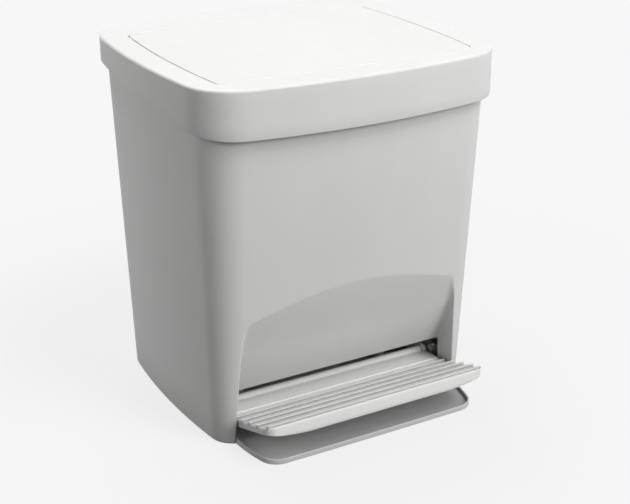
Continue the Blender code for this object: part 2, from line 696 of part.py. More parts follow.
def skirt_trim(low, helpers):
    """Wedge that leaves the skirt deep at the front and shallow at the back."""
    front = -LID_DEPTH / 2
    back = LID_DEPTH / 2
    slope = (SKIRT_FRONT - SKIRT_BACK) / (back - front)
    ahead = front - OVERRUN
    behind = back + OVERRUN
    deep = BIN_HEIGHT - SKIRT_FRONT
    profile = [
        (ahead, low - OVERRUN),
        (behind, low - OVERRUN),
        (behind, deep + slope * (behind - front)),
        (ahead, deep + slope * (ahead - front)),
    ]
    return side_prism("skirt_trim", profile, -LID_WIDTH, LID_WIDTH, helpers)


def buffer_y():
    """Middle of the front ledge at the buffers."""
    half_chord = FLAP_WIDTH / 2 - FLAP_SIDE_BOW
    radius = side_radius(half_chord, FLAP_BOW)
    edge = -FLAP_FRONT + radius - sqrt(radius * radius - BUFFER_X * BUFFER_X)
    return edge - FLAP_SEAM + LEDGE_WIDTH / 2


# Flap

def flap(parts, helpers, look):
    round_z = BIN_HEIGHT - FLAP_EDGE_ROUND
    made = loft(
        "lid_flap",
        [
            (outline(FLAP_PLAN), LID_UNDERSIDE),
            (outline(FLAP_PLAN), round_z),
            (outline(FLAP_PLAN, -FLAP_EDGE_ROUND / 3), BIN_HEIGHT - FLAP_EDGE_ROUND / 3),
            (outline(FLAP_PLAN, -FLAP_EDGE_ROUND), BIN_HEIGHT),
        ],
        parts,
    )
    low = LID_UNDERSIDE - STIFFENER_DEPTH
    ring = prism("flap_stiffener", inset_plan(STIFFENER_INSET), low, LID_UNDERSIDE + LID_PLATE / 2, helpers)
    hole = prism("flap_stiffener_hole", inset_plan(STIFFENER_INSET + STIFFENER_WALL), low - OVERRUN,
                 LID_UNDERSIDE + LID_PLATE, helpers)
    combine(made, as_cutter(combine(ring, as_cutter(hole), "DIFFERENCE")), "UNION")
    inner = FLAP_WIDTH / 2 - STIFFENER_INSET - STIFFENER_WALL / 2
    rib_front = -FLAP_FRONT + STIFFENER_INSET + STIFFENER_WALL / 2
    for i in range(FLAP_RIBS):
        x = inner * 2 * ((i + 1) / (FLAP_RIBS + 1) - 1 / 2)
        rib = box(
            f"flap_rib_{i + 1}",
            (x - STIFFENER_WALL / 2, rib_front, low + STIFFENER_WALL),
            (x + STIFFENER_WALL / 2, HINGE_Y, LID_UNDERSIDE + LID_PLATE / 2), helpers,
        )
        combine(made, as_cutter(rib), "UNION")
    for side, word in ((-1, "left"), (1, "right")):
        low_x, high_x = sorted((side * CHEEK_INNER_X, side * CHEEK_OUTER_X))
        cheek = side_prism(f"cheek_{word}", cheek_profile(), low_x, high_x, helpers)
        combine(made, as_cutter(cheek), "UNION")
        reach = (CRANK_RADIUS - CRANK_OFFSET) / 2 + ROD_PLAY
        middle = (CRANK_RADIUS + CRANK_OFFSET) / 2
        slot = side_prism(
            f"crank_slot_{word}",
            rounded_slot(HINGE_Y - middle * cos(HALF_OPEN), HINGE_Z - middle * sin(HALF_OPEN),
                         ROD_RADIUS + CRANK_PLAY, reach, HALF_OPEN),
            low_x - OVERRUN / 2, high_x + OVERRUN / 2, helpers,
        )
        combine(made, as_cutter(slot), "DIFFERENCE")
        bore = cylinder(
            f"cheek_bore_{word}", (side * (CHEEK_INNER_X - OVERRUN), HINGE_Y, HINGE_Z),
            (side * (CHEEK_OUTER_X + OVERRUN / 2), HINGE_Y, HINGE_Z),
            HINGE_PIN_RADIUS + SEAT_GAP, SMALL_SIDES, helpers,
        )
        combine(made, as_cutter(bore), "DIFFERENCE")
    return finish(made, look, (0, HINGE_Y, HINGE_Z))


def inset_plan(inset):
    """The flap's outline moved in past its own small corner."""
    plan = FLAP_PLAN._replace(
        width=FLAP_PLAN.width - 2 * inset, front=FLAP_PLAN.front - inset, back=FLAP_PLAN.back - inset
    )
    return outline(plan)


def cheek_profile():
    """Side plate under the flap that carries the hinge pin and the crank slot."""
    radius = ROD_RADIUS + CRANK_PLAY + CHEEK_THICK
    crank_y = HINGE_Y - CRANK_RADIUS * cos(HALF_OPEN)
    crank_z = HINGE_Z - CRANK_RADIUS * sin(HALF_OPEN)
    top = LID_UNDERSIDE + LID_PLATE / 2
    hinge_low = full_arc((HINGE_Y, HINGE_Z), HINGE_BOSS_RADIUS, -pi / 3, 0.0, SMALL_SIDES // 4)
    crank_low = full_arc((crank_y, crank_z), radius, -pi, -pi / 4, SMALL_SIDES // 2)
    return [
        (crank_y - radius, top),
        *crank_low,
        *hinge_low,
        (HINGE_Y + HINGE_BOSS_RADIUS, top),
    ]


# Pedal

def on_tread(back, down):
    """A side point at a distance behind the lip's top edge along the slope, and down square to it."""
    return (
        -PEDAL_REACH + back * cos(TREAD_SLOPE) - down * sin(TREAD_SLOPE),
        PEDAL_TOP - back * sin(TREAD_SLOPE) - down * cos(TREAD_SLOPE),
    )


def bend_below(down):
    """The bend between the sloping tread and its level part, at a depth below the top."""
    shift = down * tan(TREAD_SLOPE / 2)
    return (BEND_Y - shift, TREAD_LEVEL - down)


def tread_profile():
    return [
        (PIVOT_Y, TREAD_LEVEL),
        bend_below(0.0),
        on_tread(0.0, 0.0),
        on_tread(0.0, LIP_HEIGHT),
        on_tread(LIP_THICK, LIP_HEIGHT),
        on_tread(LIP_THICK + LIP_BLEND, TREAD_SKIRT),
        bend_below(TREAD_SKIRT),
        (PIVOT_Y, TREAD_LEVEL - TREAD_SKIRT),
    ]


def cell_profile():
    """One hollow under the tread, between the barrel and the front lip."""
    deep = LIP_HEIGHT + OVERRUN
    return [
        (PIVOT_Y - BARREL_RADIUS - TREAD_WALL, TREAD_LEVEL - TREAD_PLATE),
        bend_below(TREAD_PLATE),
        on_tread(TREAD_WALL, TREAD_PLATE),
        on_tread(TREAD_WALL, deep),
        bend_below(deep),
        (PIVOT_Y - BARREL_RADIUS - TREAD_WALL, TREAD_LEVEL - deep),
    ]


def arm_profile():
    """Lever arm from the barrel back to the lift rod, at rest sloping down to the back."""
    end_y = PIVOT_Y + ARM_RADIUS * cos(HALF_PRESS)
    end_z = PIVOT_Z - ARM_RADIUS * sin(HALF_PRESS)
    start = -HALF_PRESS - pi / 2
    steps = SMALL_SIDES // 2
    tip = full_arc((end_y, end_z), ARM_HALF_HEIGHT, start, start + pi, steps)
    root = full_arc((PIVOT_Y, PIVOT_Z), ARM_ROOT_HALF_HEIGHT, start + pi, start + 2 * pi, steps)
    return [*tip, *root]


def pedal(parts, helpers, look):
    half = PEDAL_WIDTH / 2
    made = side_prism("pedal", tread_profile(), -half, half, parts)
    front = on_tread(0.0, LIP_HEIGHT)[0]
    corner = TREAD_CORNER
    plan = [(half, -PIVOT_Y), (-half, -PIVOT_Y)]
    plan += arc_points((-half + corner, front + corner), corner, pi, 3 * pi / 2, CORNER_STEPS)
    plan += [(-half + corner, front)]
    plan += arc_points((half - corner, front + corner), corner, 3 * pi / 2, 2 * pi, CORNER_STEPS)
    plan += [(half, front + corner)]
    combine(made, as_cutter(prism("tread_plan", plan, -OVERRUN, PEDAL_TOP + OVERRUN, helpers)), "INTERSECT")
    for side, word in ((-1, "left"), (1, "right")):
        combine(made, as_cutter(lip_taper(side, word, helpers)), "DIFFERENCE")
    pitch = (PEDAL_WIDTH - 2 * TREAD_WALL + CELL_WEB) / CELLS
    for i in range(CELLS):
        x = -half + TREAD_WALL + i * pitch
        inset = TREAD_CORNER / 3
        low = x + (inset if i == 0 else 0)
        high = x + pitch - CELL_WEB - (inset if i == CELLS - 1 else 0)
        cell = side_prism(f"cell_{i + 1}", cell_profile(), low, high, helpers)
        combine(made, as_cutter(cell), "DIFFERENCE")
    barrel = cylinder("barrel", (-BARREL_LENGTH / 2, PIVOT_Y, PIVOT_Z), (BARREL_LENGTH / 2, PIVOT_Y, PIVOT_Z),
                      BARREL_RADIUS, ROUND_SIDES, helpers)
    combine(made, as_cutter(barrel), "UNION")
    for i in range(RIBS):
        combine(made, as_cutter(tread_rib(i, helpers)), "UNION")
    combine(made, as_cutter(tread_bead(helpers)), "UNION")
    for side, word in ((-1, "left"), (1, "right")):
        low_x, high_x = sorted((side * ARM_INNER_X, side * ARM_OUTER_X))
        arm = side_prism(f"arm_{word}", arm_profile(), low_x, high_x, helpers)
        combine(made, as_cutter(arm), "UNION")
        reach = ARM_RADIUS * (1 - cos(HALF_PRESS)) / 2 + ROD_PLAY
        slot = side_prism(
            f"arm_slot_{word}",
            rounded_slot(PIVOT_Y + ARM_RADIUS * cos(HALF_PRESS), ROD_FOOT_Z, ROD_RADIUS + ROD_PLAY, reach,
                         -HALF_PRESS),
            low_x - OVERRUN / 2, high_x + OVERRUN / 2, helpers,
        )
        combine(made, as_cutter(slot), "DIFFERENCE")
    bore = cylinder("barrel_bore", (-PEDAL_WIDTH, PIVOT_Y, PIVOT_Z), (PEDAL_WIDTH, PIVOT_Y, PIVOT_Z),
                    AXLE_RADIUS + SEAT_GAP, ROUND_SIDES, helpers)
    combine(made, as_cutter(bore), "DIFFERENCE")
    return finish(made, look, (0, PIVOT_Y, PIVOT_Z))


def lip_taper(side, word, helpers):
    """Cuts the lip's lower edge up to the skirt's depth towards one end of the tread."""
    half = PEDAL_WIDTH / 2
    rise = LIP_HEIGHT - TREAD_SKIRT
    curve = [
        (half - LIP_TAPER * (1 - i / LIP_TAPER_STEPS), LIP_HEIGHT - rise * (i / LIP_TAPER_STEPS) ** 2)
        for i in range(LIP_TAPER_STEPS + 1)
    ]
    deep = LIP_HEIGHT + OVERRUN
    profile = [*curve, (half + OVERRUN, TREAD_SKIRT), (half + OVERRUN, deep), (half - LIP_TAPER, deep)]
    front = [(side * x, *on_tread(-OVERRUN, down)) for x, down in profile]
    back = [(side * x, *on_tread(LIP_THICK + LIP_BLEND, down)) for x, down in profile]
    return bridge(f"lip_taper_{word}", front, back, helpers)


def tread_bead(helpers):
    """Low bead across the level part of the tread, behind the grip bars."""
    middle = BEND_Y + BEAD_SET_BACK
    half = BEAD_WIDTH / 2
    top = TREAD_LEVEL + BEAD_HEIGHT
    profile = [
        (middle - half, TREAD_LEVEL - TREAD_PLATE / 2),
        (middle - half, TREAD_LEVEL),
        (middle - half / 2, top),
        (middle + half / 2, top),
        (middle + half, TREAD_LEVEL),
        (middle + half, TREAD_LEVEL - TREAD_PLATE / 2),
    ]
    length = PEDAL_WIDTH / 2 - TREAD_WALL
    return side_prism("tread_bead", profile, -length, length, helpers)


def tread_rib(index, helpers):
    """One grip bar across the tread, its ends a little proud of the tread's sides."""
    back = RIB_FROM_LIP + index * RIB_PITCH / cos(TREAD_SLOPE)
    half = RIB_WIDTH / 2
    chamfer = RIB_WIDTH / 5
    profile = [
        on_tread(back - half, RIB_DROP),
        on_tread(back - half, -RIB_HEIGHT + chamfer),
        on_tread(back - half + chamfer, -RIB_HEIGHT),
        on_tread(back + half - chamfer, -RIB_HEIGHT),
        on_tread(back + half, -RIB_HEIGHT + chamfer),
        on_tread(back + half, RIB_DROP),
    ]
    length = PEDAL_WIDTH / 2 + RIB_PROUD
    if index == 0:
        length -= TREAD_CORNER / 4
    return side_prism(f"tread_rib_{index + 1}", profile, -length, length, helpers)


# Axle, bearing caps and screws

def axle(parts, look):
    made = cylinder("pedal_axle", (-AXLE_LENGTH / 2, PIVOT_Y, PIVOT_Z), (AXLE_LENGTH / 2, PIVOT_Y, PIVOT_Z),
                    AXLE_RADIUS, ROUND_SIDES, parts)
    return finish(made, look)


def bearing_cap(side, word, parts, helpers, look):
    low_x, high_x = sorted((side * BEARING_INNER_X, side * (BEARING_INNER_X + BEARING_THICK)))
    low = PIVOT_Z + SEAT_GAP / 2
    made = box(
        f"bearing_cap_{word}",
        (low_x, PIVOT_Y - BEARING_HALF_LENGTH, low),
        (high_x, PIVOT_Y + BEARING_HALF_LENGTH, low + CAP_HEIGHT), parts,
    )
    combine(made, as_cutter(axle_bore(f"cap_bore_{word}", side, helpers)), "DIFFERENCE")
    for end, place in ((-1, "front"), (1, "back")):
        hole = cylinder(
            f"cap_hole_{word}_{place}",
            (side * BEARING_X, PIVOT_Y + end * CAP_SCREW_PITCH / 2, low - OVERRUN),
            (side * BEARING_X, PIVOT_Y + end * CAP_SCREW_PITCH / 2, low + CAP_HEIGHT + OVERRUN),
            SCREW_RADIUS + SCREW_PLAY, SMALL_SIDES, helpers,
        )
        combine(made, as_cutter(hole), "DIFFERENCE")
    return finish(made, look)


def axle_bore(name, side, helpers):
    return cylinder(
        name, (side * (BEARING_INNER_X - OVERRUN), PIVOT_Y, PIVOT_Z),
        (side * (BEARING_INNER_X + BEARING_THICK + OVERRUN), PIVOT_Y, PIVOT_Z),
        AXLE_RADIUS + SEAT_GAP, ROUND_SIDES, helpers,
    )


def screw(name, head, direction, parts, look):
    """A pan-head screw: head is the seat under its head, direction is where its shank points."""
    way = Vector(direction)
    seat = Vector(head)
    quarter = SMALL_SIDES // 4
    dome = [
        (SCREW_HEAD_RADIUS * cos(pi / 2 * i / quarter), SCREW_HEAD_HEIGHT * sin(pi / 2 * i / quarter))
        for i in range(quarter)
    ]
    profile = [(0.0, SCREW_HEAD_HEIGHT), *reversed(dome), (SCREW_RADIUS, 0.0),
               (SCREW_RADIUS, -SCREW_LENGTH + SCREW_RADIUS), (0.0, -SCREW_LENGTH)]
    bm = bmesh.new()
    verts = [bm.verts.new((radius, 0, height)) for radius, height in profile]
    edges = [bm.edges.new(pair) for pair in zip(verts, verts[1:])]
    bmesh.ops.spin(bm, geom=verts + edges, axis=(0, 0, 1), cent=(0, 0, 0), steps=SMALL_SIDES, angle=2 * pi)
    bmesh.ops.remove_doubles(bm, verts=bm.verts, dist=SEAT_GAP / 10)
    made = mesh_object(name, bm, parts)
    made.data.transform(Matrix.Translation(seat) @ (-way).to_track_quat("Z", "Y").to_matrix().to_4x4())
    return finish(made, look)


# Lift rods and their retainers

def lift_rod(side, word, parts, look):
    """Round wire: foot through the pedal's arm, straight up the side, head through the flap's cheek."""
    bend = ROD_BEND
    route = [(ROD_FOOT_INNER_X, ROD_FOOT_Z)]
    for centre, start, end in (
        ((ROD_X - bend, ROD_FOOT_Z + bend), -pi / 2, 0.0),
        ((ROD_X - bend, ROD_HEAD_Z - bend), 0.0, pi / 2),
    ):
        route += arc_points(centre, bend, start, end, CORNER_STEPS)
        route.append((centre[0] + bend * cos(end), centre[1] + bend * sin(end)))
    route.append((ROD_HEAD_INNER_X, ROD_HEAD_Z))
    curve = bpy.data.curves.new(f"rod_path_{word}", "CURVE")
    curve.dimensions = "3D"
    curve.bevel_depth = ROD_RADIUS
    curve.bevel_resolution = 2
    curve.use_fill_caps = True
    spline = curve.splines.new("POLY")
    spline.points.add(len(route) - 1)
    for point, (x, z) in zip(spline.points, route):
        point.co = (side * x, ROD_Y, z, 1)
    wire = bpy.data.objects.new(f"rod_path_{word}", curve)
    parts.objects.link(wire)
    bpy.context.view_layer.update()
    graph = bpy.context.evaluated_depsgraph_get()
    mesh = bpy.data.meshes.new_from_object(wire.evaluated_get(graph))
    bm = bmesh.new()
    bm.from_mesh(mesh)
    bmesh.ops.remove_doubles(bm, verts=bm.verts, dist=SEAT_GAP / 10)
    made = mesh_object(f"lift_rod_{word}", bm, parts)
    made.matrix_world = wire.matrix_world.copy()
    bpy.data.objects.remove(wire)
    bpy.data.meshes.remove(mesh)
    return finish(made, look, (side * ROD_X, ROD_Y, ROD_FOOT_Z))


def retainer(name, x, z, parts, helpers, look):
    """Push-on cap that keeps a rod's end in its slot."""
    made = cylinder(name, (x - RETAINER_THICK / 2, ROD_Y, z), (x + RETAINER_THICK / 2, ROD_Y, z),
                    RETAINER_RADIUS, ROUND_SIDES, parts)
    bore = cylinder(f"{name}_bore", (x - RETAINER_THICK, ROD_Y, z), (x + RETAINER_THICK, ROD_Y, z),
                    ROD_RADIUS + SEAT_GAP, ROUND_SIDES, helpers)
    combine(made, as_cutter(bore), "DIFFERENCE")
    return finish(made, look)


def hinge_pin(side, word, parts, look):
    made = cylinder(f"hinge_pin_{word}", (side * HINGE_PIN_INNER_X, HINGE_Y, HINGE_Z),
                    (side * HINGE_PIN_OUTER_X, HINGE_Y, HINGE_Z), HINGE_PIN_RADIUS, SMALL_SIDES, parts)
    return finish(made, look)


def flap_buffer(side, word, parts, look):
    low = LID_UNDERSIDE - LEDGE_DROP - LEDGE_THICK
    x = side * BUFFER_X
    made = cylinder(f"flap_buffer_{word}", (x, buffer_y(), low), (x, buffer_y(), LID_UNDERSIDE - SEAT_GAP),
                    BUFFER_RADIUS, SMALL_SIDES, parts)
    return finish(made, look)


# Base tray

def base_tray(parts, helpers, look):
    foot = outline(FOOT_PLAN, -TRAY_INSET)
    made = prism("base_tray", foot, TRAY_UNDERSIDE, TRAY_FLOOR_TOP, parts)
    tongue = prism("tongue", outline(TONGUE_PLAN), TRAY_UNDERSIDE, TRAY_RIM_TOP, helpers)
    combine(made, as_cutter(tongue), "UNION")
    dish = prism("tongue_dish", outline(TONGUE_PLAN, -TRAY_WALL), TRAY_FLOOR_TOP, TRAY_RIM_TOP + OVERRUN,
                 helpers)
    combine(made, as_cutter(dish), "DIFFERENCE")
    open_back = box("tongue_open_back", (-FOOT_WIDTH, SCOOP_BACK_Y - SCOOP_FILLET - SEAT_GAP, TRAY_FLOOR_TOP),
                    (FOOT_WIDTH, TONGUE_BACK_Y + OVERRUN, TRAY_RIM_TOP + OVERRUN), helpers)
    combine(made, as_cutter(open_back), "DIFFERENCE")

    top = TRAY_FLOOR_TOP + UPSTAND_HEIGHT
    ring = prism("upstand", body_outline(GROUND_GAP, -SHELL_WALL - UPSTAND_GAP),
                 TRAY_UNDERSIDE + TRAY_FLOOR / 2, top, helpers)
    hole = prism("upstand_hole", body_outline(GROUND_GAP, -SHELL_WALL - UPSTAND_GAP - TRAY_WALL),
                 0, top + OVERRUN, helpers)
    zone = box("upstand_zone", (-FOOT_WIDTH, UPSTAND_FRONT_Y, 0), (FOOT_WIDTH, FOOT_DEPTH, top + OVERRUN),
               helpers)
    combine(ring, as_cutter(hole), "DIFFERENCE")
    combine(ring, as_cutter(zone), "INTERSECT")
    combine(made, as_cutter(ring), "UNION")

    for side, word in ((-1, "left"), (1, "right")):
        low_x, high_x = sorted((side * BEARING_INNER_X, side * (BEARING_INNER_X + BEARING_THICK)))
        stand = box(
            f"bearing_{word}",
            (low_x, PIVOT_Y - BEARING_HALF_LENGTH, TRAY_UNDERSIDE + TRAY_FLOOR / 2),
            (high_x, PIVOT_Y + BEARING_HALF_LENGTH, PIVOT_Z - SEAT_GAP / 2), helpers,
        )
        combine(made, as_cutter(stand), "UNION")
        combine(made, as_cutter(axle_bore(f"stand_bore_{word}", side, helpers)), "DIFFERENCE")
        for end, place in ((-1, "front"), (1, "back")):
            y = PIVOT_Y + end * CAP_SCREW_PITCH / 2
            pilot = cylinder(
                f"stand_pilot_{word}_{place}", (side * BEARING_X, y, PIVOT_Z + OVERRUN),
                (side * BEARING_X, y, PIVOT_Z - PILOT_DEPTH),
                SCREW_RADIUS + SCREW_PLAY, SMALL_SIDES, helpers,
            )
            combine(made, as_cutter(pilot), "DIFFERENCE")
        for y, place in ((BOSS_FRONT_Y, "front"), (BOSS_BACK_Y, "back")):
            add_screw_pad(made, side * BOSS_X, y, f"{place}_{word}", helpers)
        for y, place in ((FOOT_PAD_FRONT_Y, "front"), (FOOT_PAD_BACK_Y, "back")):
            pocket = cylinder(
                f"pad_pocket_{place}_{word}", (side * FOOT_PAD_X, y, -OVERRUN),
                (side * FOOT_PAD_X, y, FOOT_PAD_THICK + SEAT_GAP),
                FOOT_PAD_RADIUS + SEAT_GAP, ROUND_SIDES, helpers,
            )
            combine(made, as_cutter(pocket), "DIFFERENCE")
    return finish(made, look)


def add_screw_pad(made, x, y, word, helpers):
    """Round pad with a counterbore from below, which takes one screw up into the body's boss."""
    top = TRAY_FLOOR_TOP + SCREW_PAD_HEIGHT
    pad = cylinder(f"screw_pad_{word}", (x, y, TRAY_UNDERSIDE + TRAY_FLOOR / 2), (x, y, top),
                   SCREW_PAD_RADIUS, ROUND_SIDES, helpers)
    combine(made, as_cutter(pad), "UNION")
    counterbore = cylinder(
        f"counterbore_{word}", (x, y, -OVERRUN), (x, y, screw_seat_z() + SEAT_GAP),
        SCREW_HEAD_RADIUS + SCREW_PLAY, ROUND_SIDES, helpers,
    )
    combine(made, as_cutter(counterbore), "DIFFERENCE")
    hole = cylinder(f"screw_hole_{word}", (x, y, 0), (x, y, top + OVERRUN),
                    SCREW_RADIUS + SCREW_PLAY, SMALL_SIDES, helpers)
    combine(made, as_cutter(hole), "DIFFERENCE")


def screw_seat_z():
    """Height of the seat under a base screw's head."""
    return TRAY_UNDERSIDE + SCREW_HEAD_HEIGHT + SEAT_GAP


def foot_pad(side, y, name, parts, look):
    made = cylinder(name, (side * FOOT_PAD_X, y, 0), (side * FOOT_PAD_X, y, FOOT_PAD_THICK),
                    FOOT_PAD_RADIUS, ROUND_SIDES, parts)
    return finish(made, look)


# Inner bucket

def inner_bucket(parts, helpers, look):
    low = FLOOR_TOP + SEAT_GAP
    levels = [(outline(BUCKET_BASE_PLAN), low), (outline(BUCKET_RIM_PLAN), BUCKET_RIM_Z)]
    made = loft("inner_bucket", levels, parts)
    flange_low = BUCKET_RIM_Z - BUCKET_FLANGE_THICK
    flange = prism("bucket_flange", outline(BUCKET_RIM_PLAN, BUCKET_FLANGE), BUCKET_RIM_Z - BUCKET_LIP_DEPTH,
                   BUCKET_RIM_Z, helpers)
    under = prism("bucket_flange_under", outline(BUCKET_RIM_PLAN, BUCKET_FLANGE - BUCKET_WALL),
                  BUCKET_RIM_Z - BUCKET_LIP_DEPTH - OVERRUN, flange_low, helpers)
    combine(flange, as_cutter(under), "DIFFERENCE")
    combine(made, as_cutter(flange), "UNION")
    share = OVERRUN / (BUCKET_RIM_Z - low)
    rim_inside = outline(BUCKET_RIM_PLAN, -BUCKET_WALL)
    base_inside = outline(BUCKET_BASE_PLAN, -BUCKET_WALL)
    hollow = loft(
        "bucket_hollow",
        [
            (base_inside, low + BUCKET_WALL),
            (between(base_inside, rim_inside, 1 + share), BUCKET_RIM_Z + OVERRUN),
        ],
        helpers,
    )
    combine(made, as_cutter(hollow), "DIFFERENCE")
    y = (BUCKET_RIM_BACK - BUCKET_RIM_FRONT) / 2
    z = BUCKET_RIM_Z - GRIP_BELOW_RIM - GRIP_HEIGHT / 2
    slot = rounded_slot(y, z, GRIP_HEIGHT / 2, (GRIP_LENGTH - GRIP_HEIGHT) / 2, 0.0)
    grip = side_prism("grip_hole", slot, -LID_WIDTH, LID_WIDTH, helpers)
    combine(made, as_cutter(grip), "DIFFERENCE")
    return finish(made, look)


def centre(collections):
    """Moves the whole bin so that the frame's origin lies below the middle of its overall depth."""
    front = on_tread(0.0, LIP_HEIGHT)[0]
    for collection in collections:
        for made in collection.objects:
            made.location.y -= (front + LID_DEPTH / 2) / 2


def build():
    clear_scene()
    parts = new_collection("pedal_bin")
    helpers = new_collection("cutters")
    white = material("white_plastic", (0.80, 0.80, 0.79), 0.42)
    flap_white = material("flap_plastic", (0.82, 0.82, 0.81), 0.40)
    pedal_white = material("pedal_plastic", (0.79, 0.79, 0.78), 0.45)
    tray_white = material("tray_plastic", (0.76, 0.76, 0.75), 0.5)
    bucket_grey = material("bucket_plastic", (0.32, 0.33, 0.34), 0.5)
    steel = material("zinc_steel", (0.62, 0.62, 0.60), 0.32, 1.0)
    rubber = material("rubber", (0.03, 0.03, 0.03), 0.8)

    body_shell(parts, helpers, white)
    lid_frame(parts, helpers, white)
    flap(parts, helpers, flap_white)
    base_tray(parts, helpers, tray_white)
    pedal(parts, helpers, pedal_white)
    axle(parts, steel)
    inner_bucket(parts, helpers, bucket_grey)
    for side, word in ((-1, "left"), (1, "right")):
        bearing_cap(side, word, parts, helpers, tray_white)
        for end, place in ((-1, "front"), (1, "back")):
            seat = (side * BEARING_X, PIVOT_Y + end * CAP_SCREW_PITCH / 2, PIVOT_Z + CAP_HEIGHT + SEAT_GAP)
            screw(f"cap_screw_{word}_{place}", seat, (0, 0, -1), parts, steel)
        lift_rod(side, word, parts, steel)
        foot_x = side * (ARM_INNER_X - RETAINER_THICK / 2 - SEAT_GAP)
        head_x = side * (CHEEK_INNER_X - RETAINER_THICK / 2 - SEAT_GAP)
        retainer(f"rod_foot_retainer_{word}", foot_x, ROD_FOOT_Z, parts, helpers, steel)
        retainer(f"rod_head_retainer_{word}", head_x, ROD_HEAD_Z, parts, helpers, steel)
        hinge_pin(side, word, parts, steel)
        flap_buffer(side, word, parts, rubber)
        for y, place in ((BOSS_FRONT_Y, "front"), (BOSS_BACK_Y, "back")):
            screw(f"base_screw_{word}_{place}", (side * BOSS_X, y, screw_seat_z()), (0, 0, 1), parts, steel)
        for y, place in ((FOOT_PAD_FRONT_Y, "front"), (FOOT_PAD_BACK_Y, "back")):
            foot_pad(side, y, f"foot_pad_{word}_{place}", parts, rubber)
    centre((parts, helpers))


build()
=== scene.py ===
"""Looks of the pedal bin: satin plastic, zinc-plated rods and pins, soft studio light. Metres, +Z up."""

import json
from collections import namedtuple
from math import atan2, cos, hypot, pi, radians, sin, sqrt, tan

import bmesh
import bpy
import numpy as np
from mathutils import Matrix, Vector


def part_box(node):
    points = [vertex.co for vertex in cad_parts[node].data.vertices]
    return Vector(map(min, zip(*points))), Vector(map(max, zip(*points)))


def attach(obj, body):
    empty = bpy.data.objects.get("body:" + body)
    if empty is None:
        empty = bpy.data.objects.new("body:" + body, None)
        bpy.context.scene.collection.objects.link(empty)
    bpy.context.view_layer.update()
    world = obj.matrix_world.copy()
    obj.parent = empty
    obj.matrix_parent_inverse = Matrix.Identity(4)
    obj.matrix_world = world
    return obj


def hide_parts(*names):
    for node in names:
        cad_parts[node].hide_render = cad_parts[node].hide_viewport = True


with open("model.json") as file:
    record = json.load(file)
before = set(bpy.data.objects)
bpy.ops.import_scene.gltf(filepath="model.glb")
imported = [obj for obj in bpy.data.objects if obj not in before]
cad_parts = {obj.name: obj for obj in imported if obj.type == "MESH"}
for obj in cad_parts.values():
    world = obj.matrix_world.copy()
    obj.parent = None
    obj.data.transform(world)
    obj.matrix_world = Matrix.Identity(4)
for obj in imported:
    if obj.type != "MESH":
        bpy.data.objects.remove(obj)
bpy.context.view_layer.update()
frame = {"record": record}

MM = 0.001
BODIES = frame["record"]["behaviour"]["bodies"]
BODY_OF = {node: body for body, members in BODIES.items() for node in members}

# The working drawing has y = 0 at the middle of the lid's depth
DRAWING_Y = (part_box("lid_frame")[0].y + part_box("lid_frame")[1].y) / 2

# Plan outlines: width, reach to the front, reach to the back, bows of front, back and sides, corner
Plan = namedtuple("Plan", "width front back front_bow back_bow side_bow corner")
BIN_HEIGHT = 440 * MM
LID_DEPTH = 357 * MM
FOOT_DEPTH = 281 * MM
LID_PLAN = Plan(407 * MM, LID_DEPTH / 2, LID_DEPTH / 2, 17.5 * MM, 17.5 * MM, 13 * MM, 58 * MM)
FOOT_PLAN = Plan(362.2 * MM, FOOT_DEPTH / 2, FOOT_DEPTH / 2, 3 * MM, 3 * MM, 10.4 * MM, 31 * MM)
FRONT_STEPS = 40
SIDE_STEPS = 30
CORNER_STEPS = 14
ROUND_SIDES = 40

# Body shell and foot recess
SHELL_WALL = 2.6 * MM
GROUND_GAP = 3.2 * MM
RIM_INSET = 7.3 * MM
FLOOR_TOP = 57 * MM
SCOOP_FOOT_HALF = 155 * MM
SCOOP_LEAN = 10 * MM
SCOOP_CROWN = 184.6 * MM
SCOOP_LIP = 54 * MM
SCOOP_BACK_Y = -108 * MM
SCOOP_BULGE = 4 * MM
SCOOP_FILLET = 7 * MM
RECESS_EDGE_ROUND = 1.5 * MM

# Lid frame and flap
LID_PLATE = 3 * MM
LID_UNDERSIDE = BIN_HEIGHT - LID_PLATE
BODY_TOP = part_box("body_shell")[1].z
LID_EDGE_ROUND = 3.2 * MM
SKIRT_WALL = 2.8 * MM
SKIRT_FRONT = 57.3 * MM
SKIRT_BACK = 24.8 * MM
SKIRT_EDGE_ROUND = 0.5 * MM
FLAP_PLAN = Plan(340.3 * MM, 140.6 * MM, 123.4 * MM, 7.4 * MM, 12 * MM, 6.6 * MM, 6 * MM)
FLAP_SEAM = 1.4 * MM
FLAP_EDGE_ROUND = 0.9 * MM
LEDGE_WIDTH = 7.5 * MM
LEDGE_DROP = 1 * MM
LEDGE_THICK = 2.6 * MM

# Small roundings, the step beside one, the gap of seated pieces, and how far ribs and stands are sunk in
EDGE_BREAK = 0.4 * MM
SOFT_EDGE = 0.5 * MM
FLAT_STEP = 0.3 * MM
SEAT_GAP = 0.3 * MM
ROOT = 1 * MM

# Meshes and pieces

def grid_faces(bm, rows, closed=False):
    """Quads between rows of vertices of equal count; closed joins each row's ends."""
    count = len(rows[0])
    for lower, upper in zip(rows, rows[1:]):
        for i in range(count if closed else count - 1):
            j = (i + 1) % count
            corners = list(dict.fromkeys((lower[i], lower[j], upper[j], upper[i])))
            if len(corners) > 2 and bm.faces.get(corners) is None:
                bm.faces.new(corners)


def add_ring(bm, points, height):
    """Vertices of a plan outline at one height, or at a height that depends on each point."""
    level = height if callable(height) else lambda x, y: height
    return [bm.verts.new((x, y, level(x, y))) for x, y in points]


def add_loop_shell(bm, rings):
    """A closed tube of rings: the last ring joins the first."""
    rows = [add_ring(bm, points, height) for points, height in rings]
    grid_faces(bm, rows + rows[:1], closed=True)


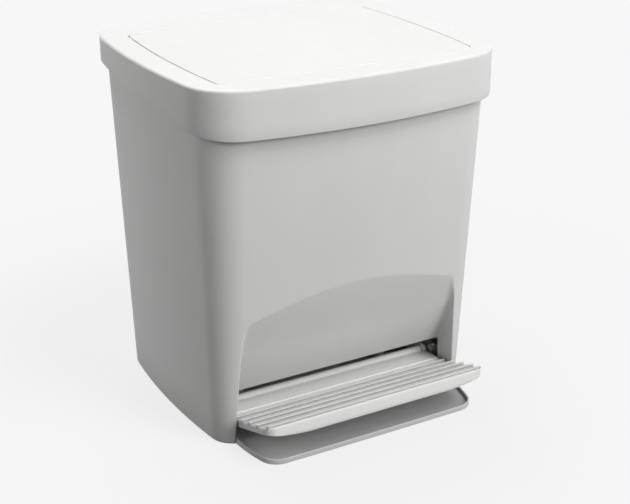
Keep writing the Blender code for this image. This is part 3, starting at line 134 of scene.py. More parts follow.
def add_cap(bm, ring):
    """Fills a flat ring of any shape."""
    edges = [bm.edges.get(pair) or bm.edges.new(pair) for pair in zip(ring, ring[1:] + ring[:1])]
    bmesh.ops.triangle_fill(bm, use_beauty=True, edges=edges, normal=(0, 0, 1))


def add_capped_shell(bm, rings):
    """A solid through rings, closed by a flat end below and above."""
    rows = [add_ring(bm, points, height) for points, height in rings]
    grid_faces(bm, rows, closed=True)
    add_cap(bm, rows[0])
    add_cap(bm, rows[-1])


def add_bar(bm, rows):
    """A solid swept through rows of points, closed by its first and last row."""
    rings = [[bm.verts.new(point) for point in row] for row in rows]
    grid_faces(bm, rings, closed=True)
    bm.faces.new(rings[0])
    bm.faces.new(rings[-1])


def add_block(bm, low, high, edge=SOFT_EDGE):
    """A box with small rounded edges."""
    made = bmesh.ops.create_cube(bm, size=1)["verts"]
    size = [b - a for a, b in zip(low, high)]
    middle = [(a + b) / 2 for a, b in zip(low, high)]
    bmesh.ops.transform(bm, matrix=Matrix.Translation(middle) @ Matrix.Diagonal((*size, 1)), verts=made)
    edges = list({e for v in made for e in v.link_edges})
    bmesh.ops.bevel(bm, geom=edges, offset=edge, segments=2, profile=0.5, affect="EDGES")


def add_lathe(bm, profile, place, axis, sides=ROUND_SIDES):
    """A round piece from (radius, distance along the axis) points; ends on the axis are poles."""
    turn = Vector(axis).to_track_quat("Z", "Y").to_matrix()
    rows = []
    for radius, along in profile:
        count = sides if radius else 1
        ring = []
        for i in range(count):
            angle = 2 * pi * i / sides
            point = Vector((radius * cos(angle), radius * sin(angle), along))
            ring.append(bm.verts.new(turn @ point + Vector(place)))
        rows.append(ring * (sides // count))
    grid_faces(bm, rows, closed=True)


def add_drum(bm, radius, low, high, place, axis=(0, 0, 1)):
    """A plain round bar between two distances along its axis."""
    add_lathe(bm, [(0, low), (radius, low), (radius, high), (0, high)], place, axis)


def quarter(radius, steps):
    """How far a round edge has moved in and up at each step from a wall onto a top."""
    angles = [pi / 2 * i / steps for i in range(steps + 1)]
    return [(radius * (1 - cos(angle)), radius * sin(angle)) for angle in angles]


def round_top(low, high, top, rounding):
    """Profile over a top with round corners, from the wall at low to the wall at high."""
    turn = quarter(rounding, 5)
    points = [(low + inset, top - rounding + rise) for inset, rise in turn]
    return points + [(high - inset, top - rounding + rise) for inset, rise in reversed(turn)]


def dome(radius, low, high, steps):
    """Profile of a round head from its wall up to just before its middle."""
    angles = [pi / 2 * i / steps for i in range(steps)]
    return [(radius * cos(angle), low + (high - low) * sin(angle)) for angle in angles]


def make_object(name, bm, shift=True):
    """A mesh object in the frame from one built in the working drawing."""
    bmesh.ops.recalc_face_normals(bm, faces=bm.faces)
    if bm.calc_volume(signed=True) < 0:
        bmesh.ops.reverse_faces(bm, faces=bm.faces)
    if shift:
        bmesh.ops.translate(bm, vec=(0, DRAWING_Y, 0), verts=bm.verts)
    mesh = bpy.data.meshes.new(name)
    bm.to_mesh(mesh)
    bm.free()
    made = bpy.data.objects.new(name, mesh)
    bpy.context.scene.collection.objects.link(made)
    return made


def finish_piece(made, node, finish, sharp=40):
    """Shades a piece, gives it its finish, and lets it stand for its CAD node."""
    made.data.materials.clear()
    made.data.materials.append(finish)
    made.data.shade_smooth()
    made.data.set_sharp_from_angle(angle=radians(sharp))
    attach(made, BODY_OF[node])
    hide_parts(node)


# Plan outlines made of four bowed sides and round corners

def side_radius(half_chord, bow):
    """Radius of the arc over a chord that bows out by a distance."""
    return (half_chord * half_chord + bow * bow) / (2 * bow)


def corner_centre(first, first_radius, second, second_radius, corner, x_sign, y_sign):
    """The centre of the round corner that touches both side arcs from inside."""
    r1 = first_radius - corner
    r2 = second_radius - corner
    dx = second[0] - first[0]
    dy = second[1] - first[1]
    apart = hypot(dx, dy)
    along = (r1 * r1 - r2 * r2 + apart * apart) / (2 * apart)
    across = sqrt(r1 * r1 - along * along)
    foot = (first[0] + dx * along / apart, first[1] + dy * along / apart)
    spots = [(foot[0] - side * dy / apart * across, foot[1] + side * dx / apart * across) for side in (1, -1)]
    return max(spots, key=lambda spot: x_sign * spot[0] + y_sign * spot[1])


def arc(centre, radius, start, end, steps, last=False):
    """Points along an arc, with its end point only where last asks for it."""
    return [
        (centre[0] + radius * cos(start + (end - start) * i / steps),
         centre[1] + radius * sin(start + (end - start) * i / steps))
        for i in range(steps + (1 if last else 0))
    ]


def outline(plan, grow=0.0, fine=1):
    """Points of the plan, anticlockwise from the front left corner, moved out by grow all round."""
    half = plan.width / 2
    chord_x = half - plan.side_bow
    low = -plan.front + plan.front_bow
    high = plan.back - plan.back_bow
    front_r = side_radius(chord_x, plan.front_bow)
    back_r = side_radius(chord_x, plan.back_bow)
    side_r = side_radius((high - low) / 2, plan.side_bow)
    front = (0.0, -plan.front + front_r)
    back = (0.0, plan.back - back_r)
    right = (half - side_r, (low + high) / 2)
    fr = corner_centre(front, front_r, right, side_r, plan.corner, 1, -1)
    br = corner_centre(right, side_r, back, back_r, plan.corner, 1, 1)
    front_end = atan2(fr[1] - front[1], fr[0] - front[0])
    right_low = atan2(fr[1] - right[1], fr[0] - right[0])
    right_high = atan2(br[1] - right[1], br[0] - right[0])
    back_start = atan2(br[1] - back[1], br[0] - back[0])
    fl = (-fr[0], fr[1])
    bl = (-br[0], br[1])
    left = (-right[0], right[1])
    runs = (
        (front, front_r, -pi - front_end, front_end, FRONT_STEPS),
        (fr, plan.corner, front_end, right_low, CORNER_STEPS),
        (right, side_r, right_low, right_high, SIDE_STEPS),
        (br, plan.corner, right_high, back_start, CORNER_STEPS),
        (back, back_r, back_start, pi - back_start, FRONT_STEPS),
        (bl, plan.corner, pi - back_start, pi - right_high, CORNER_STEPS),
        (left, side_r, pi - right_high, pi - right_low, SIDE_STEPS),
        (fl, plan.corner, pi - right_low, pi - front_end, CORNER_STEPS),
    )
    points = []
    for centre, radius, start, end, steps in runs:
        points += arc(centre, radius + grow, start, end, steps * fine)
    return points


def between(low_points, high_points, share):
    """Points a share of the way from one outline to another."""
    return [
        (a[0] + (b[0] - a[0]) * share, a[1] + (b[1] - a[1]) * share) for a, b in zip(low_points, high_points)
    ]


def body_share(height):
    """How far up its taper the body is at a height."""
    return (height - GROUND_GAP) / (BODY_TOP - GROUND_GAP)


def body_outline(height, grow=0.0, fine=1):
    """Section of the body's taper at a height."""
    return between(
        outline(FOOT_PLAN, grow, fine), outline(LID_PLAN, grow - RIM_INSET, fine), body_share(height)
    )


def front_face_y(height):
    """Where the body's front face crosses the centre plane."""
    return -(FOOT_DEPTH / 2 + (LID_DEPTH / 2 - RIM_INSET - FOOT_DEPTH / 2) * body_share(height))


# Body shell

FINE = 8
HALF_CORNER = CORNER_STEPS // 2
PATH_STEPS = 300
FACE_COLUMNS = 30
RECESS_COLUMNS = 44
RECESS_REACH = 80 * MM
CROWN_HALF = 10 * MM
SLOT_COLUMN_FROM_SIDE = 1.5 * MM
ARCH_RISE = 36 * MM
ARCH_STEPS = 31
ARCH_LEVELS = [SCOOP_CROWN - ARCH_RISE * (1 - i / ARCH_STEPS) ** 2 for i in range(ARCH_STEPS)]
CROWN_LEVELS = [SCOOP_CROWN + d * MM for d in (0, 0.3, 0.7, 1.2, 1.8, 2.6, 3.6, 5, 7, 10, 14)]

# The face and the recess cross at a small angle under the arch, where the same round would reach much further
ARCH_ROUND_SHARE = 0.2
JAMB_START = 12 * MM
JAMB_BLEND = 10 * MM

# Where points crowd on the face and the recess: distance from its start (None is its end), width, strength
FACE_CROWDS = [(0, 4 * MM, 10), (None, 45 * MM, 3)]
RECESS_EDGE_CROWD = (0, 3 * MM, 14)


def recess_back(grow):
    """Heights and depths of the recess's back wall, which bulges forwards a little."""
    crown = Vector((front_face_y(SCOOP_CROWN), SCOOP_CROWN))
    lip = Vector((SCOOP_BACK_Y, SCOOP_LIP))
    chord = lip - crown
    radius = side_radius(chord.length / 2, SCOOP_BULGE)
    inward = Vector((-chord.y, chord.x)).normalized()
    centre = (crown + lip) / 2 + inward * (radius - SCOOP_BULGE)
    start = atan2(crown.y - centre.y, crown.x - centre.x)
    end = atan2(lip.y - centre.y, lip.x - centre.x)
    if end - start > pi:
        end -= 2 * pi
    if start - end > pi:
        end += 2 * pi
    wall = arc(centre, radius - grow, start, end, 40, last=True)
    rise = Vector((-sin(start), cos(start)))
    if rise.y < 0:
        rise = -rise
    above = Vector(wall[0]) + rise * (SCOOP_CROWN - SCOOP_LIP) / 2
    profile = [(SCOOP_BACK_Y + grow, -SCOOP_LIP), *reversed(wall), tuple(above)]
    return np.array([z for y, z in profile]), np.array([y for y, z in profile])


class BodySection:
    """The body's front at one height: the bowed face and the foot recess that cuts it."""

    def __init__(self, height, wall):
        self.height = height
        ring = body_outline(height, -wall, FINE)
        first = HALF_CORNER * FINE
        last = (FRONT_STEPS + HALF_CORNER) * FINE
        face = np.array(ring[-first:] + ring[:last + 1])
        self.rest = ring[last:-first:FINE]
        self.face_x, self.face_y = face[:, 0], face[:, 1]
        heights, depths = RECESS_BACKS[wall]
        self.back = float(np.interp(height, heights, depths))
        step = 1 * MM
        ahead, behind = (np.interp(height + way, heights, depths) for way in (step, -step))
        slope = (ahead - behind) / (2 * step)
        self.back_share = 1 / sqrt(1 + slope * slope)
        self.half = SCOOP_FOOT_HALF + wall - SCOOP_LEAN / SCOOP_CROWN * height
        self.fillet = SCOOP_FILLET + wall

    def face_at(self, x):
        return np.interp(x, self.face_x, self.face_y)

    def recess_path(self):
        """Left half of the recess, from in front of the face along its side and back wall to the middle."""
        side = [(-self.half, self.back - self.fillet - d) for d in np.linspace(RECESS_REACH, 0, PATH_STEPS)]
        turn = arc((self.fillet - self.half, self.back - self.fillet), self.fillet, pi, pi / 2, 60)
        wall = [(x, self.back) for x in np.linspace(self.fillet - self.half, 0, PATH_STEPS)]
        return np.array(side + turn + wall)

    def left_front(self):
        """Left half of the section's front: the points of the face, then those of the recess."""
        path = self.recess_path()
        behind = path[:, 1] - self.face_at(path[:, 0]) > 0
        first = int(np.argmax(behind)) if behind.any() else len(path) - 1
        if first and behind.any():
            a, b = path[first - 1], path[first]
            gap_a = a[1] - self.face_at(a[0])
            gap_b = b[1] - self.face_at(b[0])
            start = a + (b - a) * (-gap_a / (gap_b - gap_a))
        else:
            start = path[first]
        if start[0] > -CROWN_HALF:
            xs = np.linspace(-CROWN_HALF, 0, 60)
            inner = np.stack([xs, np.maximum(self.face_at(xs), self.back)], 1)
        else:
            inner = np.vstack([start[None], path[first:]]) if behind.any() else path[-1:]
        outer_x = np.linspace(self.face_x[0], inner[0][0], PATH_STEPS)
        outer = np.stack([outer_x, self.face_at(outer_x)], 1)
        return outer, inner


def spaced(points, count, peaks):
    """Points along a path, closer together near the given distances from its start, or near its end."""
    steps = np.hypot(*np.diff(points, axis=0).T)
    along = np.concatenate([[0], np.cumsum(steps)])
    if along[-1] <= 0:
        return [tuple(points[0])] * count
    fine = np.linspace(0, along[-1], 1200)
    weight = np.ones_like(fine)
    for place, width, strength in peaks:
        weight += strength * np.exp(-((fine - (along[-1] if place is None else place)) / width) ** 2)
    total = np.concatenate([[0], np.cumsum((weight[1:] + weight[:-1]) / 2)])
    where = np.interp(np.linspace(0, total[-1], count), total, fine)
    return list(zip(np.interp(where, along, points[:, 0]), np.interp(where, along, points[:, 1])))


def section_ring(height, wall):
    """Closed section of the body at a height, with the recess; wall is 0 outside and the wall inside."""
    section = BodySection(height, wall)
    outer, inner = section.left_front()
    face = spaced(outer[::-1], FACE_COLUMNS + 1, FACE_CROWDS)[:0:-1]
    reach = max(0.0, section.back - section.fillet - inner[0][1])
    bend = section.fillet * pi / 4
    half = face + spaced(inner, RECESS_COLUMNS, [RECESS_EDGE_CROWD, (reach + bend, 1.5 * bend, 5)])
    mirrored = [(-x, y) for x, y in reversed(half[:-1])]
    return half + mirrored[:-1] + section.rest, section


def soften_edge(bm, sheet, radius):
    """Rounds the edge where the recess meets the face, by moving the points near it onto a round."""
    for section, row in sheet:
        if section.height > SCOOP_CROWN + 12 * radius:
            continue
        for vert in row:
            place = vert.co
            if abs(place.x) > section.half + 3 * radius or place.y > section.back + radius:
                continue
            jamb = min(max((JAMB_START - section.half + abs(place.x)) / JAMB_BLEND, 0.0), 1.0)
            local = radius * (ARCH_ROUND_SHARE + (1 - ARCH_ROUND_SHARE) * jamb)
            for _ in range(4):
                value, slope = rounded_gap(section, place, local)
                place -= slope * (value / max(slope.length_squared, 0.2))
            vert.co = place


def rounded_gap(section, place, radius):
    """Distance outside the rounded body near the recess's edge, and its gradient at the section's height."""
    def gap(x, y):
        face = float(section.face_at(x)) - y
        side = section.fillet - (section.half - abs(x))
        back = section.fillet - (section.back - y) * section.back_share
        hollow = section.fillet - min(max(side, back), 0.0) - hypot(max(side, 0.0), max(back, 0.0))
        a = face + radius
        b = hollow + radius
        return min(max(a, b), 0.0) + hypot(max(a, 0.0), max(b, 0.0)) - radius

    step = 0.01 * MM
    value = gap(place.x, place.y)
    slope = Vector((
        (gap(place.x + step, place.y) - gap(place.x - step, place.y)) / (2 * step),
        (gap(place.x, place.y + step) - gap(place.x, place.y - step)) / (2 * step),
        0.0,
    ))
    return value, slope


RECESS_BACKS = {wall: recess_back(wall) for wall in (0.0, SHELL_WALL)}


def body_shell(finish):
    bm = bmesh.new()
    foot_levels = list(np.linspace(GROUND_GAP, SCOOP_LIP, 8))
    levels = foot_levels + list(np.linspace(SCOOP_LIP, SCOOP_CROWN - ARCH_RISE, 20)[1:-1])
    levels += ARCH_LEVELS + CROWN_LEVELS + list(np.linspace(CROWN_LEVELS[-1], BODY_TOP, 30)[1:])
    sheet = []
    for height in levels:
        points, section = section_ring(height, 0.0)
        sheet.append((section, add_ring(bm, points, height)))
    soften_edge(bm, sheet, RECESS_EDGE_ROUND)
    outside = [row for section, row in sheet]

    upper = [add_ring(bm, section_ring(z, SHELL_WALL)[0], z) for z in np.linspace(FLOOR_TOP, BODY_TOP, 46)]
    lower = [add_ring(bm, section_ring(z, SHELL_WALL)[0], z) for z in foot_levels]
    grid_faces(bm, [*upper, outside[-1]], closed=True)
    add_cap(bm, upper[0])
    add_cap(bm, lower[-1])

    count = len(outside[0])
    front = 2 * (FACE_COLUMNS + RECESS_COLUMNS) - 1
    middle = front // 2
    edge = SCOOP_FOOT_HALF - 2 * SLOT_COLUMN_FROM_SIDE
    first = min(range(FACE_COLUMNS, middle), key=lambda i: abs(outside[3][i].co.x + edge))
    last = 2 * middle - first
    foot = len(foot_levels)
    for rows in (outside, lower):
        for k in range(len(rows) - 1):
            for i in range(count):
                if k < foot - 1 and first <= i < last:
                    continue
                j = (i + 1) % count
                bm.faces.new((rows[k][i], rows[k][j], rows[k + 1][j], rows[k + 1][i]))
    for column in (first, last):
        grid_faces(bm, [[outside[k][column] for k in range(foot)], [lower[k][column] for k in range(foot)]])
    grid_faces(bm, [outside[foot - 1][first:last + 1], lower[foot - 1][first:last + 1]])
    for i in range(count):
        if not first <= i < last:
            j = (i + 1) % count
            bm.faces.new((outside[0][i], outside[0][j], lower[0][j], lower[0][i]))
    pilot = SCREW_RADIUS + SEAT_GAP
    depth = SCREW_LENGTH + PILOT_SPARE
    top = FLOOR_TOP - BOSS_SUNK - BOSS_LOW
    profile = [(0, top), (BOSS_RADIUS, top), (BOSS_RADIUS, 0), (pilot, 0), (pilot, depth), (0, depth)]
    for place in four_places(BOSS_X, BOSS_YS, BOSS_LOW):
        add_lathe(bm, profile, place, (0, 0, 1))
    for side in (-1, 1):
        add_rod_guide(bm, side)
    finish_piece(make_object("body_wall", bm), "body_shell", finish, sharp=9)


# Lid frame

HINGE_Y = 102 * MM
HINGE_Z = BIN_HEIGHT - 5.6 * MM
HINGE_BOSS_RADIUS = 5 * MM
HINGE_PIN_RADIUS = 2 * MM
HINGE_PIN_INNER_X = 149.5 * MM
HINGE_PIN_OUTER_X = 171.5 * MM
CHEEK_INNER_X = 151.5 * MM
CHEEK_OUTER_X = 155.5 * MM
HINGE_BOSS_OUTER_X = 173.5 * MM
ROD_X = 161 * MM
ROD_Y = (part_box("lift_rod_left")[0].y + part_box("lift_rod_left")[1].y) / 2 - DRAWING_Y
RELIEF_Y = ROD_Y - 16 * MM
RIM_DEPTH = 13 * MM
RIM_WALL = 2 * MM
RIM_PLAY = 0.5 * MM
HINGE_BOSS_DROP = 0.2 * MM


def skirt_low(x, y):
    """Height of the skirt's lower edge, which rises to the back."""
    slope = (SKIRT_FRONT - SKIRT_BACK) / LID_DEPTH
    return BIN_HEIGHT - SKIRT_FRONT + slope * (y + LID_DEPTH / 2)


def above_skirt(rise):
    """Level that follows the skirt's lower edge."""
    return lambda x, y: skirt_low(x, y) + rise


def up_skirt(top, share):
    """Level a share of the way from the skirt's lower edge up to a height."""
    return lambda x, y: skirt_low(x, y) + (top - skirt_low(x, y)) * share


def flap_inset(inset):
    """The flap's outline moved in past its own small corner."""
    plan = FLAP_PLAN._replace(
        width=FLAP_PLAN.width - 2 * inset, front=FLAP_PLAN.front - inset, back=FLAP_PLAN.back - inset
    )
    return outline(plan)


def ledge_points(inset):
    """The ledge's inner edge, which stops ahead of the lift rods."""
    return [
        seam if seam[1] > RELIEF_Y else ledge
        for seam, ledge in zip(outline(FLAP_PLAN, FLAP_SEAM + SEAT_GAP), flap_inset(inset))
    ]


def seat_low(x, y):
    """Underside of the ledge's web; between the cheeks at the back only the plate is left."""
    clear = abs(x) < CHEEK_OUTER_X and y > HINGE_Y + HINGE_BOSS_RADIUS
    return LID_UNDERSIDE - SEAT_GAP if clear else LID_UNDERSIDE - LEDGE_DROP - LEDGE_THICK


def lid_frame(finish):
    rings = [(outline(LID_PLAN, -SKIRT_WALL + SKIRT_EDGE_ROUND), skirt_low)]
    for inset, rise in reversed(quarter(SKIRT_EDGE_ROUND, 3)):
        rings.append((outline(LID_PLAN, -inset), above_skirt(SKIRT_EDGE_ROUND - rise)))
    wall_top = BIN_HEIGHT - LID_EDGE_ROUND
    for share in (0.25, 0.5, 0.75):
        rings.append((outline(LID_PLAN), up_skirt(wall_top, share)))
    for inset, rise in quarter(LID_EDGE_ROUND, 9):
        rings.append((outline(LID_PLAN, -inset), wall_top + rise))
    edge = outline(LID_PLAN, -LID_EDGE_ROUND - EDGE_BREAK)
    seam_edge = outline(FLAP_PLAN, FLAP_SEAM + FLAP_EDGE_ROUND + FLAT_STEP)
    for share in (0, 0.25, 0.5, 0.75, 1):
        rings.append((between(edge, seam_edge, share), BIN_HEIGHT))
    for inset, rise in reversed(quarter(FLAP_EDGE_ROUND, 5)):
        rings.append((outline(FLAP_PLAN, FLAP_SEAM + inset), BIN_HEIGHT - FLAP_EDGE_ROUND + rise))
    ledge_top = LID_UNDERSIDE - LEDGE_DROP
    ledge = LEDGE_WIDTH - FLAP_SEAM
    rim_low = LID_UNDERSIDE - RIM_DEPTH
    rim_outer = -SHELL_WALL - RIM_PLAY
    rim_inner = rim_outer - RIM_WALL
    rings += [
        (outline(FLAP_PLAN, FLAP_SEAM), ledge_top),
        (ledge_points(ledge - EDGE_BREAK), ledge_top),
        (ledge_points(ledge), ledge_top - EDGE_BREAK),
        (ledge_points(ledge), ledge_top - LEDGE_THICK),
        (outline(FLAP_PLAN, FLAP_SEAM + SKIRT_WALL), seat_low),
        (outline(FLAP_PLAN, FLAP_SEAM + SKIRT_WALL), LID_UNDERSIDE),
        (body_outline(LID_UNDERSIDE, rim_inner), LID_UNDERSIDE),
        (body_outline(rim_low, rim_inner), rim_low),
        (body_outline(rim_low, rim_outer - EDGE_BREAK), rim_low),
        (body_outline(rim_low, rim_outer), rim_low + 1.5 * EDGE_BREAK),
        (body_outline(LID_UNDERSIDE, rim_outer), LID_UNDERSIDE),
        (outline(LID_PLAN, -SKIRT_WALL), LID_UNDERSIDE),
        (outline(LID_PLAN, -SKIRT_WALL), above_skirt(SKIRT_EDGE_ROUND)),
    ]
    bm = bmesh.new()
    add_loop_shell(bm, rings)
    radius = HINGE_BOSS_RADIUS
    length = HINGE_BOSS_OUTER_X - CHEEK_OUTER_X
    boss = [(0, 0), (radius - EDGE_BREAK, 0), (radius, EDGE_BREAK), (radius, length), (0, length)]
    for side in (-1, 1):
        add_lathe(bm, boss, (side * CHEEK_OUTER_X, HINGE_Y, HINGE_Z - HINGE_BOSS_DROP), (side, 0, 0))
    finish_piece(make_object("lid_surround", bm), "lid_frame", finish)


# Flap

FLAP_MIDDLE = 30 * MM
STIFFENER_INSET = 10 * MM
STIFFENER_WALL = 2.5 * MM
STIFFENER_LOW = LID_UNDERSIDE - 10 * MM
CRANK_RADIUS = 27.0504 * MM
CRANK_OFFSET = 22.9929 * MM
HALF_OPEN = radians(35)
ROD_RADIUS = 2.5 * MM
CRANK_PLAY = 0.85 * MM
CRANK_WALL = 4 * MM
ROD_PLAY = 0.4 * MM


def flap_panel(finish):
    """The flap's plate with its stiffening ring and the cheek at each end; the ribs are made apart."""
    bm = bmesh.new()
    wall_top = BIN_HEIGHT - FLAP_EDGE_ROUND
    add_capped_shell(bm, [
        (outline(FLAP_PLAN, -FLAT_STEP), LID_UNDERSIDE), (outline(FLAP_PLAN), LID_UNDERSIDE + FLAT_STEP),
        *((outline(FLAP_PLAN, -inset), wall_top + rise) for inset, rise in quarter(FLAP_EDGE_ROUND, 5)),
        (outline(FLAP_PLAN, -FLAP_EDGE_ROUND - FLAT_STEP), BIN_HEIGHT), (flap_inset(FLAP_MIDDLE), BIN_HEIGHT),
    ])
    low = STIFFENER_LOW
    inner = STIFFENER_INSET + STIFFENER_WALL
    edge = SOFT_EDGE
    add_loop_shell(bm, [(flap_inset(inset), height) for inset, height in (
        (STIFFENER_INSET, LID_UNDERSIDE + ROOT), (STIFFENER_INSET, low + edge), (STIFFENER_INSET + edge, low),
        (inner - edge, low), (inner, low + edge), (inner, LID_UNDERSIDE + ROOT),
    )])
    for side in (-1, 1):
        add_cheek(bm, side)
    finish_piece(make_object("flap_panel", bm), "lid_flap", finish)


def add_cheek(bm, side):
    """Side plate under the flap with a bore for the hinge pin and a slot for the lift rod's head."""
    radius = ROD_RADIUS + CRANK_PLAY + CRANK_WALL
    crank_y = HINGE_Y - CRANK_RADIUS * cos(HALF_OPEN)
    crank_z = HINGE_Z - CRANK_RADIUS * sin(HALF_OPEN)
    top = LID_UNDERSIDE + ROOT
    tail = [(crank_y - radius, top)]
    tail += arc((crank_y, crank_z), radius, -pi, -pi / 4, 16, last=True)
    tail += arc((HINGE_Y, HINGE_Z), HINGE_BOSS_RADIUS, -pi / 3, 0, 6, last=True)
    tail.append((HINGE_Y + HINGE_BOSS_RADIUS, top))
    middle = (CRANK_RADIUS + CRANK_OFFSET) / 2
    slot = slot_points(
        HINGE_Y - middle * cos(HALF_OPEN), HINGE_Z - middle * sin(HALF_OPEN), ROD_RADIUS + CRANK_PLAY,
        (CRANK_RADIUS - CRANK_OFFSET) / 2 + ROD_PLAY, HALF_OPEN,
    )
    bore = arc((HINGE_Y, HINGE_Z), HINGE_PIN_RADIUS + SEAT_GAP, 0, 2 * pi, 20)
    add_plate(bm, tail, [slot, bore], *sorted((side * CHEEK_INNER_X, side * CHEEK_OUTER_X)))


def slot_points(y, z, radius, reach, angle):
    """Two half circles joined, along an angle in the YZ plane."""
    points = []
    for end, start in ((reach, angle - pi / 2), (-reach, angle + pi / 2)):
        points += arc((y + end * cos(angle), z + end * sin(angle)), radius, start, start + pi, 12, last=True)
    return points


def add_plate(bm, edge, holes, low_x, high_x):
    """A flat plate across X with a (y, z) outline and holes through it."""
    loops = [edge, *holes]
    sides = []
    for x in (low_x, high_x):
        side = []
        links = []
        for loop in loops:
            ring = [bm.verts.new((x, y, z)) for y, z in loop]
            side.append(ring)
            links += [bm.edges.new((a, b)) for a, b in zip(ring, ring[1:] + ring[:1])]
        bmesh.ops.triangle_fill(bm, use_beauty=True, use_dissolve=False, edges=links, normal=(1, 0, 0))
        sides.append(side)
    for near, far in zip(*sides):
        for i in range(len(near)):
            j = (i + 1) % len(near)
            bm.faces.new((near[i], near[j], far[j], far[i]))


# Pedal

PEDAL_HALF = 151 * MM
PIVOT_Y = -82.5 * MM
PIVOT_Z = 27.5155 * MM
TREAD_LEVEL = 27.2155 * MM
PEDAL_REACH = 209 * MM
PEDAL_TOP = 56.0155 * MM
TREAD_SLOPE = radians(18.8)
BEND_Y = -124.4006 * MM
BEND_BLEND = 7 * MM
TREAD_PLATE = 2.8 * MM
TREAD_WALL = 2.6 * MM
TREAD_SKIRT = 8.6 * MM
TREAD_EDGE_ROUND = 2.2 * MM
BEAD_WIDTH = 4 * MM
BEAD_HEIGHT = 0.9 * MM
BEAD_BEHIND_BEND = 12 * MM
LIP_HEIGHT = 15.4 * MM
LIP_THICK = 5 * MM
LIP_TAPER = 62 * MM
LIP_CORNER = 14 * MM
LIP_CORNER_DEPTH = 11.2 * MM
BARREL_RADIUS = 5.2 * MM
BARREL_HALF = 148 * MM
AXLE_RADIUS = 2.5 * MM
ARM_RADIUS = 161.8798 * MM
HALF_PRESS = radians(5.5)
ARM_INNER_X = 142 * MM
ARM_OUTER_X = 147 * MM
ARM_TIP_RADIUS = 6.2 * MM
ARM_ROOT_RADIUS = 8 * MM
ROD_FOOT_Z = 12 * MM
ROD_HEAD_Z = 418.8845 * MM
SIDE_ROWS = 64
CORNER_ROWS = 16
LIP_COLUMNS = 110


def tread_height(y):
    """Top of the tread: level at the back, then up the slope, with a soft bend between."""
    ahead = BEND_Y - y
    if ahead < -BEND_BLEND:
        return TREAD_LEVEL
    if ahead > BEND_BLEND:
        return TREAD_LEVEL + ahead * tan(TREAD_SLOPE)
    return TREAD_LEVEL + (ahead + BEND_BLEND) ** 2 / (4 * BEND_BLEND) * tan(TREAD_SLOPE)


def lip_depth(x):
    """Height of the front lip, which fades to the skirt's towards the ends."""
    past = max(0.0, abs(x) - (PEDAL_HALF - LIP_TAPER)) / LIP_TAPER
    return LIP_HEIGHT - (LIP_HEIGHT - TREAD_SKIRT) * min(past, 1.0) ** 2


def tread_stations():
    """Edge of the tread from the back left round the front to the back right, and back along the barrel.

    Each has its place, the way in, how frontal it is, and how far down its wall goes."""
    left = [
        (-PEDAL_HALF, PIVOT_Y + (-PEDAL_REACH + LIP_CORNER_DEPTH - PIVOT_Y) * i / SIDE_ROWS, 1.0, 0.0, 0.0)
        for i in range(SIDE_ROWS)
    ]
    for i in range(CORNER_ROWS):
        angle = pi / 2 * i / CORNER_ROWS
        left.append((
            -PEDAL_HALF + LIP_CORNER * (1 - cos(angle)), -PEDAL_REACH + LIP_CORNER_DEPTH * (1 - sin(angle)),
            cos(angle), sin(angle), sin(angle),
        ))
    start = -PEDAL_HALF + LIP_CORNER
    front = [
        (start - 2 * start * i / LIP_COLUMNS, -PEDAL_REACH, 0.0, 1.0, 1.0) for i in range(LIP_COLUMNS + 1)
    ]
    right = [(-x, y, -way_x, way_y, front_share) for x, y, way_x, way_y, front_share in reversed(left)]
    columns = LIP_COLUMNS + CORNER_ROWS
    back = [(PEDAL_HALF - 2 * PEDAL_HALF * i / columns, PIVOT_Y, 0.0, -1.0, 0.0) for i in range(1, columns)]
    return left + front + right + back


def tread_ring(stations, inset, drop, share_down=0.0, inside=False):
    """Points of one ring: moved in, below the tread's surface, and down the wall by a share of its height."""
    points = []
    for x, y, way_x, way_y, front_share in stations:
        wall = share_down * (TREAD_SKIRT + (lip_depth(x) - TREAD_SKIRT) * front_share - drop)
        step = inset + ((LIP_THICK - TREAD_WALL) * front_share if inside else 0.0)
        px = x + way_x * step
        py = y + way_y * step - (wall + drop) * sin(TREAD_SLOPE) * front_share
        surface = tread_height(y + way_y * step)
        points.append((px, py, surface - drop - wall * (1 - (1 - cos(TREAD_SLOPE)) * front_share)))
    return points


def on_tread(back, down):
    """A side point at a distance behind the lip's top edge along the slope, and down square to it."""
    return (
        -PEDAL_REACH + back * cos(TREAD_SLOPE) - down * sin(TREAD_SLOPE),
        PEDAL_TOP - back * sin(TREAD_SLOPE) - down * cos(TREAD_SLOPE),
    )


def add_tread_cap(bm, ring, drop):
    """Grid over the tread inside a ring of vertices, each on the tread's surface less a depth."""
    rows = SIDE_ROWS + CORNER_ROWS // 2
    columns = LIP_COLUMNS + CORNER_ROWS
    left = ring[:rows + 1]
    front = ring[rows:rows + columns + 1]
    right = list(reversed(ring[rows + columns:rows + columns + rows + 1]))
    back = [left[0], *reversed(ring[2 * rows + columns + 1:]), right[0]]
    grid = []
    for j in range(rows + 1):
        v = j / rows
        weight = v ** 6
        line = []
        for i in range(columns + 1):
            u = i / columns
            if j == 0:
                line.append(back[i])
            elif j == rows:
                line.append(front[i])
            elif i == 0:
                line.append(left[j])
            elif i == columns:
                line.append(right[j])
            else:
                corner = (
                    (left[0].co * (1 - u) + right[0].co * u) * (1 - weight)
                    + (left[rows].co * (1 - u) + right[rows].co * u) * weight
                )
                place = back[i].co * (1 - weight) + front[i].co * weight
                place = place + left[j].co * (1 - u) + right[j].co * u - corner
                line.append(bm.verts.new((place.x, place.y, tread_height(place.y) - drop)))
        grid.append(line)
    grid_faces(bm, grid)


